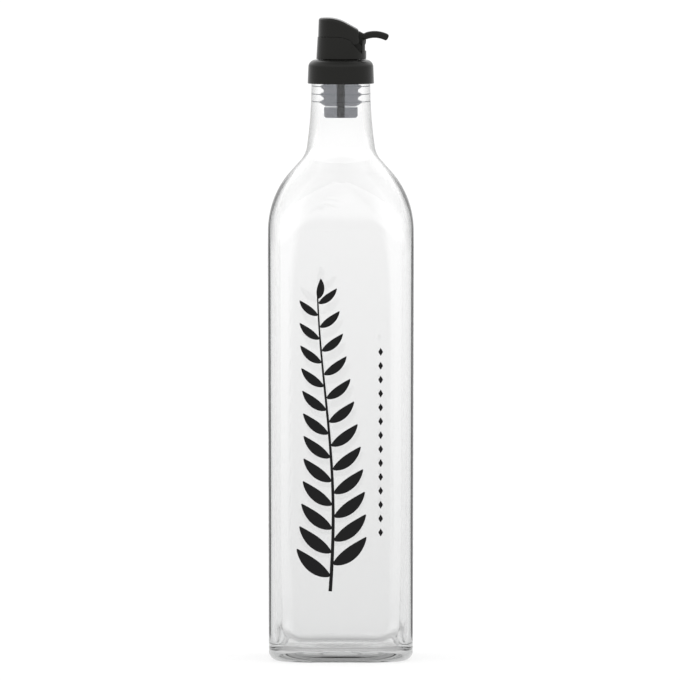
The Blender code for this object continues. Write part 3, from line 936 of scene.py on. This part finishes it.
@dataclass
class Collar:
    """The cap over the glass lip: a skirt with a full round at its top edge."""

    foot: float
    top: float
    foot_radius: float
    neck_radius: float
    mouth: float
    top_radius: float = 17.2
    rounding: float = 4.0
    hole: float = 9.0
    gap: float = 0.3
    foot_rounding: float = 0.35
    chamfer: float = 0.2
    hole_chamfer: float = 0.15
    bevel: float = 0.1

    def build(self) -> None:
        """Makes the collar: a closed outline turned about the axis."""
        inside = self.neck_radius + self.gap
        plate = self.mouth + self.gap
        corner = (self.top_radius - self.rounding, self.top - self.rounding)
        edge = arc(corner, self.rounding, QUARTER, 0.0, 14)
        foot_z = self.foot + self.foot_rounding
        skirt = runs(tuple(edge[-1]), (self.foot_radius, foot_z), step=3.0)[1:]
        corner = (self.foot_radius - self.foot_rounding, foot_z)
        foot = arc(corner, self.foot_rounding, 0.0, -QUARTER, 4)[1:]
        rest = [
            (inside + self.chamfer, self.foot),
            (inside, self.foot + self.chamfer),
            (inside, plate),
            (self.hole, plate),
            (self.hole, self.top - self.hole_chamfer),
            (self.hole + self.hole_chamfer, self.top),
            (self.top_radius - 1.5 * self.rounding, self.top),
        ]
        shell = revolve(np.vstack([edge, skirt, foot, np.array(rest)]), 160)
        place("neck_collar", shell, BLACK_PLASTIC, Body.BOTTLE, Node.COLLAR, Slot.PLASTIC, self.bevel)


@dataclass
class Drum:
    """A round drum whose right side is upright and whose left side leans in towards the top."""

    right: float = 13.44
    low: float = 316.6
    left_low: float = -12.95
    high: float = 329.5
    left_high: float = -12.2

    def left(self, height: np.ndarray) -> np.ndarray:
        """The left side's x at a height."""
        share = (height - self.low) / (self.high - self.low)
        return self.left_low + (self.left_high - self.left_low) * share

    def centre(self, height: np.ndarray) -> np.ndarray:
        """The section's centre x at a height."""
        return (self.right + self.left(height)) / 2

    def radius(self, height: np.ndarray) -> np.ndarray:
        """The section's radius at a height."""
        return (self.right - self.left(height)) / 2


@dataclass
class Parting:
    """The line in the side view where the hood meets the housing."""

    pivot: np.ndarray
    height: float = 328.5
    bend: float = -2.7
    pull: float = 1.6
    ear_radius: float = 1.9
    ear_gap: tuple = (0.9, 0.4)

    def curve(self) -> np.ndarray:
        """(x, z) points of the bend, which drops towards the ear."""
        start, pull = np.array([self.bend, self.height]), np.array([self.pull, self.height])
        end = self.pivot + (-self.ear_radius - self.ear_gap[0], self.ear_gap[1])
        return bend(np.linspace(0.0, 1.0, 24)[:, None], start, pull, end)

    def round_pivot(self, gap: float, start: float, end: float, steps: int) -> np.ndarray:
        """An arc about the pivot at a gap from the ear, with its angles in degrees."""
        return arc(self.pivot, self.ear_radius + gap, math.radians(start), math.radians(end), steps)

    def hood_edge(self, x: np.ndarray) -> np.ndarray:
        """The hood's lower edge: level, then the bend, then round under the ear.

        Args:
            x: Where along X.

        Returns:
            The edge's heights.
        """
        ear = self.round_pivot(0.0, 190.0, 358.0, 40)
        line = np.vstack([[(-FAR, self.height)], self.curve(), ear, [(FAR, self.pivot[1])]])
        return np.interp(x, line[:, 0], line[:, 1])

    def housing_edge(self, x: np.ndarray, gap: float, notch_foot: tuple, deck: float) -> np.ndarray:
        """The housing's upper edge.

        Args:
            x: Where along X.
            gap: How far it lies under the hood's edge.
            notch_foot: (x, z) of the foot of the slanting cut behind the ear.
            deck: Height of the edge behind that foot.

        Returns:
            The edge's heights.
        """
        notch = self.round_pivot(gap, 186.0, 235.0, 10)
        behind = [notch_foot, (notch_foot[0] + 0.15, deck), (FAR, deck)]
        line = np.vstack([[(-FAR, self.height - gap)], self.curve() - (0.0, gap), notch, behind])
        return np.interp(x, line[:, 0], line[:, 1])


def even_turns(edge_height: np.ndarray, radius: float, count: int = 288) -> np.ndarray:
    """Angles that stand evenly along a wall's edge, so that its steep parts get enough.

    The edge's length grows by sqrt((r da)^2 + dz^2) from point to point, and the angles
    are read where that length is a whole share of the total.

    Args:
        edge_height: The edge's height at each dense angle.
        radius: The wall's radius.
        count: How many angles are wanted.

    Returns:
        The angles.
    """
    spans = np.hypot(radius * np.diff(DENSE_TURN), np.diff(edge_height))
    length = np.concatenate([[0.0], np.cumsum(spans)])
    return np.interp(np.linspace(0.0, length[-1], count, endpoint=False), length, DENSE_TURN)


@dataclass
class SpoutHousing:
    """The cup on the collar: stem and duct below, and a leaning nozzle inside."""

    foot: float
    pivot: np.ndarray
    collar_top: float
    deck: float = 320.3
    slot_floor: float = 321.0
    wall: float = 1.6
    stem: float = 8.7
    stem_duct: float = 2.8
    duct: float = 2.2
    nozzle: float = 3.6
    nozzle_foot: tuple = (0.0, 319.0)
    nozzle_tip: tuple = (-4.4, 333.2)
    post_inner: float = 11.2
    post_top: float = 327.0
    slot_half: float = 3.9
    lug_radius: float = 2.3
    lug_thickness: float = 1.7
    lug_centre: float = 5.85
    gap: float = 0.3
    parting_gap: float = 0.18
    foot_round: float = 0.3
    stem_round: float = 0.1
    duct_round: float = 0.2
    deck_depth: float = 0.6
    edge_level: float = 328.0
    edge_radius: float = 13.0
    post_foot: float = 318.2
    post_level: float = 324.0
    bevel: float = 0.18

    def edge(self, x: np.ndarray) -> np.ndarray:
        """The cup's upper edge."""
        notch_foot = (self.post_inner, self.deck - 1.0)
        return Parting(self.pivot).housing_edge(x, self.parting_gap, notch_foot, self.slot_floor)

    def wall_x(self, turn: np.ndarray, inset: float) -> np.ndarray:
        """Where the wall's upper edge stands along X, at an inset from the drum."""
        drum = Drum()
        return drum.centre(self.edge_level) + (drum.radius(self.edge_level) - inset) * np.cos(turn)

    def wall_rings(self, turn: np.ndarray, shares: np.ndarray, inset: float, floor: float) -> list[np.ndarray]:
        """Rings of the cup's wall.

        Args:
            turn: Angles round a ring.
            shares: How far up each ring stands: 0 is the floor and 1 the upper edge.
            inset: How far the rings lie inside the drum.
            floor: Height of the floor.

        Returns:
            One array of points for each ring.
        """
        drum = Drum()
        rise = self.edge(self.wall_x(turn, inset)) - floor
        heights = [floor + rise * share for share in shares]
        return [level_ring(drum.centre(z), drum.radius(z) - inset, turn, z) for z in heights]

    def cup(self) -> Shell:
        """Cup, stem, duct and nozzle as one run of rings that ends where it starts."""
        drum = Drum()
        cup_foot = self.collar_top + self.gap
        turn = even_turns(self.edge(self.wall_x(DENSE_TURN, 0.0)), self.edge_radius)
        wall_foot = cup_foot + self.foot_round
        round_foot = arc((-self.foot_round, wall_foot), self.foot_round, 0.0, -QUARTER, 4)
        rings = self.wall_rings(turn, np.linspace(1.0, 0.0, 16), 0.0, wall_foot)
        rings += [level_ring(drum.centre(z), drum.radius(z) + x, turn, z) for x, z in round_foot[1:]]
        stem = (
            (self.stem + self.stem_round, cup_foot),
            (self.stem, cup_foot - self.stem_round),
            (self.stem, self.foot + self.foot_round),
            (self.stem - self.foot_round, self.foot),
            (self.stem_duct + self.duct_round, self.foot),
            (self.stem_duct, self.foot + self.duct_round),
            (self.stem_duct, self.deck - self.deck_depth),
        )
        rings += [level_ring(0.0, radius, turn, height) for radius, height in stem]
        rings += self.nozzle_rings(turn)
        deck_radius = drum.radius(self.deck) - self.wall - self.foot_round
        rings.append(level_ring(drum.centre(self.deck), deck_radius, turn, self.deck))
        rings += self.wall_rings(turn, np.linspace(0.0, 1.0, 12), self.wall, self.deck + 0.02)
        return Shell.from_rings(np.array(rings), Join.RING)

    def nozzle_rings(self, turn: np.ndarray) -> list[np.ndarray]:
        """Rings up the leaning duct, over the nozzle's square-cut tip and down its outside.

        Args:
            turn: Angles round a ring.

        Returns:
            One array of points for each ring.
        """
        foot, tip = np.array(self.nozzle_foot), np.array(self.nozzle_tip)
        length = float(np.linalg.norm(tip - foot))
        axis = (tip - foot) / length
        across = np.array([axis[1], -axis[0]])
        steps = (
            (self.duct, 1.5),
            (self.duct, length - self.duct_round),
            (self.duct + self.duct_round, length),
            (self.nozzle - 0.25, length),
            (self.nozzle, length - 0.25),
            (self.nozzle, length / 2),
            (self.nozzle, 0.45),
        )
        rings = []
        for radius, along in steps:
            flat = foot + axis * along + across * radius * np.cos(turn)[:, None]
            rings.append(side_on(flat, radius * np.sin(turn)))
        return rings

    def post(self, sign: int) -> Shell:
        """One rear post: a three-cornered section carried straight up.

        Args:
            sign: -1 for the front post and 1 for the back one.

        Returns:
            The post.
        """
        centre, radius = Drum().centre(self.post_level), Drum().radius(self.post_level)
        start = math.acos((self.post_inner - centre) / radius)
        rim = arc((centre, 0.0), radius, start, math.asin(self.slot_half / radius), 6)
        section = np.vstack([rim, [(self.post_inner, self.slot_half)]]) * (1, sign)
        section = soften(section, 0.25, 3)
        middle = section.mean(axis=0)
        foot, top = self.post_foot, self.post_top
        scale = np.array([0.4, 0.92, 1.0, 1.0, 1.0, 0.92, 0.4])
        height = np.array([foot, foot, foot + 0.2, foot + 3.8, top - 0.2, top, top])
        flat = middle + (section - middle)[None] * scale[:, None, None]
        z = np.broadcast_to(height[:, None, None], (*flat.shape[:2], 1))
        return Shell.from_rings(np.concatenate([flat, z], axis=-1), Join.POLES)

    def lug(self, sign: int) -> Shell:
        """One hinge lug: a post with a round top about the pivot, carried along Y.

        Args:
            sign: -1 for the front lug and 1 for the back one.

        Returns:
            The lug.
        """
        x, z = self.pivot
        foot = self.deck - self.deck_depth
        right = self.post_inner + 0.4
        top = arc((x, z), self.lug_radius, math.radians(-30.0), math.radians(180.0), 24)
        corners = np.vstack([[(x - self.lug_radius, foot), (right, foot), (right, z - 3.4)], top])
        low = sign * self.lug_centre - self.lug_thickness / 2
        return carried_slab(corners, low, low + self.lug_thickness, 0.2)

    def build(self) -> None:
        """Makes the housing's pieces."""
        plastic = (BLACK_PLASTIC, Body.BOTTLE, Node.HOUSING, Slot.PLASTIC)
        place("spout_cup", self.cup(), *plastic, self.bevel)
        for side, sign in SIDES:
            place(f"rear_post_{side}", self.post(sign), *plastic)
            place(f"hinge_lug_{side}", self.lug(sign), *plastic)


@dataclass
class FlipHood:
    """The hood over the nozzle, with its thumb lever, hub and hinge pins."""

    pivot: np.ndarray
    top: float
    wall: float = 1.4
    back: float = 9.5
    left_foot: float = -12.2
    left_top: float = -11.6
    roof_radius: float = 21.0
    roof_start: float = -7.4
    roof_slope: float = math.radians(28.5)
    edge_round: float = 1.6
    inner_round: float = 0.6
    first_level: float = 331.0
    lever_half: float = 3.4
    lever_thickness: float = 3.7
    lever_centre: tuple = (17.8, 315.8)
    lever_radius: float = 13.8
    lever_end: float = math.radians(64.5)
    valley: float = 330.1
    root_top: float = 331.3
    root_foot: float = 326.8
    hub_radius: float = 4.2
    hub_back_radius: float = 5.7
    hub_back: tuple = (math.radians(-60.0), math.radians(40.0))
    pin_radius: float = 1.0
    lug_room: float = 2.6
    lug_centre: float = 5.85
    pin_ends: tuple = (6.2, 9.9)
    lug_cut: float = 2.2
    lever_tip: float = 1.35
    lever_starts: tuple = ((1, 107.0), (-1, 111.0))
    lever_points: int = 64
    lever_square: int = 5
    root_reach: tuple = (-1.1, 0.4, 2.6, 2.9)
    edge_level: float = 327.0
    edge_radius: float = 12.8

    @property
    def drum(self) -> Drum:
        """The drum that the wall stands on."""
        low, high = self.pivot[1] - 4.0, self.top + 2.0
        return Drum(low=low, left_low=self.left_foot, high=high, left_high=self.left_top)

    def roof(self, x: np.ndarray, sink: float) -> np.ndarray:
        """The roof's height: level on the left, then an arc, then a straight slope.

        Args:
            x: Where along X.
            sink: How far the line is moved in, for the inside.

        Returns:
            The heights.
        """
        radius = self.roof_radius - sink
        centre = self.top - self.roof_radius
        line = arc((self.roof_start, centre), radius, QUARTER, QUARTER - self.roof_slope, 24)
        end = line[-1] + np.array([FAR, -FAR * math.tan(self.roof_slope)])
        line = np.vstack([[(-FAR, self.top - sink)], line, end])
        return np.interp(x, line[:, 0], line[:, 1])

    def plan(self, turn: np.ndarray, inset: float, height: Number) -> tuple[Number, np.ndarray]:
        """Where a ring stands: the drum's circle, cut off by the flat back with a soft corner.

        Args:
            turn: Angles round the ring.
            inset: How far it lies inside the drum.
            height: Its height.

        Returns:
            Its centre along X, and its radius at each angle.
        """
        cos = np.cos(turn)
        centre = self.drum.centre(height)
        back = np.where(cos > 0.05, (self.back - inset - centre) / np.maximum(cos, 0.05), 1e3)
        return centre, soft_min(self.drum.radius(height) - inset, back, 0.25)

    def skin(self, inset: float, turn: np.ndarray, edge: float) -> list[np.ndarray]:
        """One skin of the hood, from its lower edge up the wall and over the roof.

        At the top the wall turns into the roof by a bend that is pulled to where they would
        meet.

        Args:
            inset: How far the skin lies inside the drum.
            turn: Angles round each ring.
            edge: How far the turn into the roof reaches along each side.

        Returns:
            Rings from the lower edge to close to the middle of the roof.
        """
        cos = np.cos(turn)
        centre, radius = self.plan(turn, inset, self.first_level)
        low = Parting(self.pivot).hood_edge(centre + radius * cos)
        top = self.roof(centre + radius * cos, inset)
        for _ in range(3):
            centre, radius = self.plan(turn, inset, top)
            top = self.roof(centre + radius * cos, inset)
        reach = np.minimum(edge, 0.45 * (top - low))
        heights = [low + (top - reach - low) * share for share in np.linspace(0.0, 1.0, 12)]
        rings = [level_ring(*self.plan(turn, inset, z), turn, z) for z in heights]
        shares = np.linspace(1.0, 0.04, 18)
        flats = [((radius - reach) * share, centre + (radius - reach) * share * cos) for share in shares]
        roof = [level_ring(centre, flat, turn, self.roof(x, inset)) for flat, x in flats]
        corner = level_ring(centre, radius, turn, top)
        turned = bend(np.linspace(0.0, 1.0, 8)[1:, None, None], rings[-1], corner, roof[0])
        return rings + list(turned) + roof[1:]

    def cover(self) -> Shell:
        """The hood's wall and roof: the outer skin, the lower edge and the inner skin."""
        drum, parting = self.drum, Parting(self.pivot)
        wall_x = drum.centre(self.edge_level) + drum.radius(self.edge_level) * np.cos(DENSE_TURN)
        turn = even_turns(parting.hood_edge(np.minimum(wall_x, self.back)), self.edge_radius)
        outer = self.skin(0.0, turn, self.edge_round)
        inner = self.skin(self.wall, turn, self.inner_round)
        between = []
        for share in np.linspace(0.0, 1.0, 6)[1:-1]:
            ring = outer[0] * (1 - share) + inner[0] * share
            ring[:, 2] = parting.hood_edge(ring[:, 0])
            between.append(ring)
        return Shell.from_rings(np.array(outer[::-1] + between + inner), Join.POLES)

    def lever(self) -> Shell:
        """The thumb lever: a rounded box section carried between its upper and under lines.

        With u and v the paired points of the two lines and w the half width, a section's
        points are (u + v) / 2 + d (u - v) / 2, moved c w along Y, with (c, d) on the curve
        |c|^5 + |d|^5 = 1. At the tip the section shrinks by (1 - e^2.5)^0.4, where e runs
        from 0 to 1 over the last bit.
        """
        half = self.lever_thickness / 2
        root, shelf, valley, under = (self.back + reach for reach in self.root_reach)
        top_arc, low_arc = (
            arc(self.lever_centre, self.lever_radius + side * half, math.radians(start), self.lever_end, 30)
            for side, start in self.lever_starts
        )
        top_root = runs((root, self.root_top), (shelf, self.root_top), (valley, self.valley), step=0.3)
        low_root = runs((root, self.root_foot), (under, self.root_foot), step=0.3)
        upper = paced(np.vstack([top_root, top_arc]), self.lever_points, 3)
        under = paced(np.vstack([low_root, low_arc]), self.lever_points, 4)
        middle, reach = (upper + under) / 2, (upper - under) / 2
        ahead = middle[-1] - middle[-2]
        ahead /= np.linalg.norm(ahead)
        end = np.linspace(0.0, 1.0, 12)[1:-1] ** 0.6
        shrink = (1.0 - end**2.5) ** 0.4
        middle = np.vstack([middle, middle[-1] + ahead * end[:, None] * self.lever_tip])
        reach = np.vstack([reach, reach[-1] * shrink[:, None]])
        wide = np.full(len(upper), self.lever_half)
        wide = np.concatenate([wide, self.lever_half - self.lever_tip * (1.0 - shrink)])
        turn = full_turn(56)
        square = self.lever_square
        bulge = (np.abs(np.cos(turn)) ** square + np.abs(np.sin(turn)) ** square) ** (-1 / square)
        flat = middle[:, None] + reach[:, None] * (np.sin(turn) * bulge)[None, :, None]
        return Shell.from_rings(side_on(flat, wide[:, None] * np.cos(turn) * bulge), Join.POLES)

    def hub(self) -> Shell:
        """The lever's hub between the lugs: a disc about the pivot, wider at the back."""
        back = arc(self.pivot, self.hub_back_radius, *self.hub_back, 30)
        rest = arc(self.pivot, self.hub_radius, self.hub_back[1], self.hub_back[0] + TAU, 60)
        outline = soften(np.vstack([back, rest]), 0.3, 1)
        half = self.lever_half - 0.1
        return carried_slab(outline, -half, half, 0.35)

    def round_bar(self, radius: float, points: int, low: float, high: float, edge: float) -> Shell:
        """A round bar about the pivot.

        Args:
            radius: Its radius.
            points: Points in its circle.
            low: Where it starts along Y.
            high: Where it ends.
            edge: The rounding of its rims.

        Returns:
            The bar.
        """
        last = TAU * (points - 1) / points
        circle = arc(self.pivot, radius, 0.0, last, points - 1)
        return carried_slab(circle, low, high, edge)

    def pin(self, sign: int) -> Shell:
        """One hinge pin: a round bar from the ear's wall into the lug."""
        low, high = sorted(sign * end for end in self.pin_ends)
        return self.round_bar(self.pin_radius, 24, low, high, 0.15)

    def lug_cutter(self, side: str, sign: int) -> bpy.types.Object:
        """A drum about the pivot that makes room for a hinge lug in the hood's back.

        Args:
            side: The lug's side.
            sign: -1 for the front lug and 1 for the back one.

        Returns:
            The cutter, which is in the scene.
        """
        low = sign * self.lug_centre - self.lug_cut / 2
        cutter = self.round_bar(self.lug_room, 48, low, low + self.lug_cut, 0.05)
        return stand(f"lug_room_{side}", cutter.mesh(f"lug_room_{side}"))

    def build(self) -> None:
        """Makes the hood, cuts room for the lugs, and adds lever and pins."""
        plastic = (BLACK_PLASTIC, Body.HOOD, Node.HOOD, Slot.PLASTIC)
        hood = place("hood_cover", self.cover(), *plastic)
        tools = [self.lug_cutter(side, sign) for side, sign in SIDES]
        for tool in tools:
            step = hood.modifiers.new("room_" + tool.name, "BOOLEAN")
            step.operation = "DIFFERENCE"
            step.solver = "EXACT"
            step.object = tool
        graph = bpy.context.evaluated_depsgraph_get()
        cut = bpy.data.meshes.new_from_object(hood.evaluated_get(graph))
        hood.modifiers.clear()
        hood.data = cut
        hood.data.set_sharp_from_angle(angle=SHARP_ANGLE)
        for tool in tools:
            bpy.data.objects.remove(tool, do_unlink=True)
        place("thumb_lever", self.lever(), *plastic)
        place("lever_hub", self.hub(), *plastic)
        for side, sign in SIDES:
            place(f"hinge_pin_{side}", self.pin(sign), *plastic)


# Print


@dataclass
class LeafPrint:
    """A plain leafy sprig in black ink up the front face, with a row of beads beside it."""

    bottle: Bottle
    stem_x: float = -6.9
    foot: float = 38.0
    top: float = 194.0
    lift: float = 0.012
    ink: float = 0.035
    sway: float = 3.4
    sway_turn: tuple = (4.1, 0.4)
    lean: float = 2.0
    stem_half: tuple = (0.95, 0.55)
    leaf_pairs: int = 12
    leaf_span: tuple = (0.05, 0.93)
    leaf_size: tuple = (24.0, 7.2)
    leaf_lift: float = 0.4
    leaf_bend: float = 0.55
    leaf_offsets: tuple = ((-1, 0.0), (1, 0.04))
    leaf_shrink: float = 0.5
    top_leaf: tuple = (0.985, 1, 11.0, 4.0, 1.15)
    bead_x: float = 20.9
    bead_span: tuple = (69.0, 164.0)
    bead_count: int = 14
    bead_size: tuple = (2.1, 1.25)

    def patch(self, line: np.ndarray, half: np.ndarray) -> Shell:
        """A flat inked shape: a thin oval section carried along a line on the front face.

        The section's points are (half cos a) across the line and lift + ink (1 + sin a)
        out from the glass, so the shape closes on itself at its edges.

        Args:
            line: (x, z) points of the shape's middle line.
            half: Its half width at each point.

        Returns:
            The closed shape.
        """
        run = np.gradient(line, axis=0)
        run /= np.linalg.norm(run, axis=1, keepdims=True)
        turn = full_turn(12)
        across = half[:, None] * np.cos(turn)
        x = line[:, :1] - run[:, 1:] * across
        z = line[:, 1:] + run[:, :1] * across
        out = self.lift + self.ink * (1 + np.sin(turn))
        y = -(self.bottle.face_distance(z) + out)
        return Shell.from_rings(np.stack([x, y, z], axis=-1), Join.POLES)

    def stem_line(self, share: np.ndarray) -> np.ndarray:
        """The stem's (x, z): a slow S that leans one way and then the other.

        Args:
            share: How far up the stem.

        Returns:
            The points.
        """
        turn, start = self.sway_turn
        x = self.stem_x + self.sway * np.sin(share * turn + start) - self.lean * share
        z = self.foot + (self.top - self.foot) * share
        return np.stack([x, z], axis=-1)

    def leaf(self, share: float, side: int, length: float, width: float, lift: float) -> Shell:
        """One leaf, from the stem out to a point.

        Its middle line starts on the stem and bends upwards; its half width follows
        sin(pi t)^0.8 with its widest place a little below the middle.

        Args:
            share: How far up the stem it grows.
            side: -1 for left and 1 for right.
            length: Its length.
            width: Its greatest width.
            lift: Its angle above the level.

        Returns:
            The leaf.
        """
        t = np.linspace(0.02, 0.985, 26)
        start = self.stem_line(np.array(share))
        angle = lift + self.leaf_bend * t
        step = length / len(t)
        x = start[0] + side * np.cumsum(np.cos(angle)) * step
        z = start[1] + np.cumsum(np.sin(angle)) * step
        half = width / 2 * np.sin(math.pi * t**0.85) ** 0.8
        return self.patch(np.stack([x, z], axis=1), half)

    def sprig(self) -> Shell:
        """Stem and paired leaves that get smaller towards the top."""
        share = np.linspace(0.0, 1.0, 90)
        shells = [self.patch(self.stem_line(share), self.stem_half[0] - self.stem_half[1] * share)]
        for spot in np.linspace(*self.leaf_span, self.leaf_pairs):
            size = [full * (1.0 - self.leaf_shrink * spot) for full in self.leaf_size]
            for side, ahead in self.leaf_offsets:
                shells.append(self.leaf(spot + ahead, side, *size, self.leaf_lift))
        shells.append(self.leaf(*self.top_leaf))
        return Shell.together(shells)

    def beads(self) -> Shell:
        """A row of small lozenges up the right of the sprig."""
        t = np.linspace(-0.96, 0.96, 10)
        high, wide = self.bead_size
        shells = []
        for height in np.linspace(*self.bead_span, self.bead_count):
            line = np.stack([np.full_like(t, self.bead_x), height + high * t], axis=1)
            shells.append(self.patch(line, wide * (1 - np.abs(t)) + 0.04))
        return Shell.together(shells)

    def build(self) -> None:
        """Makes the print."""
        place("sprig_print", self.sprig(), PRINT_INK, Body.BOTTLE)
        place("bead_print", self.beads(), PRINT_INK, Body.BOTTLE)


# Studio


@dataclass
class Studio:
    """A plain pale floor, soft light and the camera."""

    scale: float = 0.5281
    base_row: float = 658.0
    axis_column: float = 340.85
    distance: float = 6.0
    pitch: float = math.radians(3.1)
    floor_side: float = 120.0
    floor_glow: float = 0.78
    floor_colour: float = 0.2
    horizon: float = 1.0
    band: float = 1.9
    band_rise: tuple = (0.15, 0.4)
    band_fall: tuple = (0.6, 0.95)
    overhead: float = 0.45

    def camera(self) -> None:
        """A long lens a little above the bottle, looking slightly down at its front."""
        data = bpy.data.cameras.new("camera")
        camera = stand("camera", data)
        middle = IMAGE_SIDE / 2
        upright = self.scale / math.cos(self.pitch)
        target = Vector(((middle - self.axis_column) * self.scale, 0.0, (self.base_row - middle) * upright)) * MM
        back = Vector((0.0, -math.cos(self.pitch), math.sin(self.pitch)))
        camera.location = target + back * self.distance
        camera.rotation_mode = "QUATERNION"
        camera.rotation_quaternion = (-back).to_track_quat("-Z", "Y")
        data.sensor_width = SENSOR_WIDTH
        data.lens = SENSOR_WIDTH * self.distance / (IMAGE_SIDE * self.scale * MM)
        data.clip_start, data.clip_end = 0.1, 200.0
        bpy.context.scene.camera = camera

    def floor(self) -> None:
        """A wide pale floor that glows a little, as a light table does."""
        side = self.floor_side / 2
        mesh = bpy.data.meshes.new("pale_floor")
        corners = [(x * side, y * side, 0.0) for x, y in ((-1, -1), (1, -1), (1, 1), (-1, 1))]
        mesh.from_pydata(corners, [], [(0, 1, 2, 3)])
        floor = stand("pale_floor", mesh)
        material = bpy.data.materials.new("pale_floor")
        material.use_nodes = True
        nodes = Nodes(material.node_tree)
        matt = nodes.add("ShaderNodeBsdfDiffuse", {"Color": (*(self.floor_colour,) * 3, 1.0)})
        glow = nodes.add("ShaderNodeEmission", {"Strength": self.floor_glow})
        both = {0: matt.outputs["BSDF"], 1: glow.outputs["Emission"]}
        nodes.out(Surface=nodes.add("ShaderNodeAddShader", both).outputs["Shader"])
        mesh.materials.append(material)

    def world(self) -> None:
        """A pale sky: even round the horizon, brighter half way up and darker overhead."""
        world = bpy.data.worlds.new("studio_sky")
        world.use_nodes = True
        nodes = Nodes(world.node_tree)
        height = nodes.split("Generated")["Z"]
        band = nodes.between(nodes.rise(height, *self.band_rise), self.horizon, self.band)
        fade = nodes.between(nodes.rise(height, *self.band_fall), 1.0, self.overhead)
        glow = {"Color": (1.0, 1.0, 1.0, 1.0), "Strength": nodes.math("MULTIPLY", band, fade)}
        sky = nodes.add("ShaderNodeBackground", glow).outputs["Background"]
        nodes.add("ShaderNodeOutputWorld", {"Surface": sky})
        bpy.context.scene.world = world

    def build(self) -> None:
        """Sets up floor, sky, camera and a plain view of the colours."""
        self.camera()
        self.floor()
        self.world()
        bpy.context.scene.view_settings.view_transform = "Standard"
        log.info("studio ready")


def main() -> None:
    """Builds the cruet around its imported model, and then the studio."""
    logging.basicConfig(level=logging.INFO, format="%(message)s")
    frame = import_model()
    pivot = np.array(frame["joints"][0]["pos_m"])[[0, 2]] / MM
    glass_high = node_box(Node.GLASS)[1]
    collar_low, collar_high = node_box(Node.COLLAR)
    housing_low = node_box(Node.HOUSING)[0]
    hood_high = node_box(Node.HOOD)[1]
    stopper_low, stopper_high = node_box(Node.STOPPER)
    tube_low, tube_high = node_box(Node.TUBE)

    bottle = Bottle(half_width=glass_high[0], mouth_height=glass_high[2])
    bottle.build()
    Stopper(stopper_low[2], stopper_high[2], bottle, tube_high[0]).build()
    AirTube(tube_high[0], tube_low[2], tube_high[2]).build()
    Collar(collar_low[2], collar_high[2], collar_high[0], bottle.neck_radius, bottle.mouth_height).build()
    SpoutHousing(housing_low[2], pivot, collar_high[2]).build()
    FlipHood(pivot, hood_high[2]).build()
    LeafPrint(bottle).build()
    Studio().build()


if __name__ == "__main__":
    main()
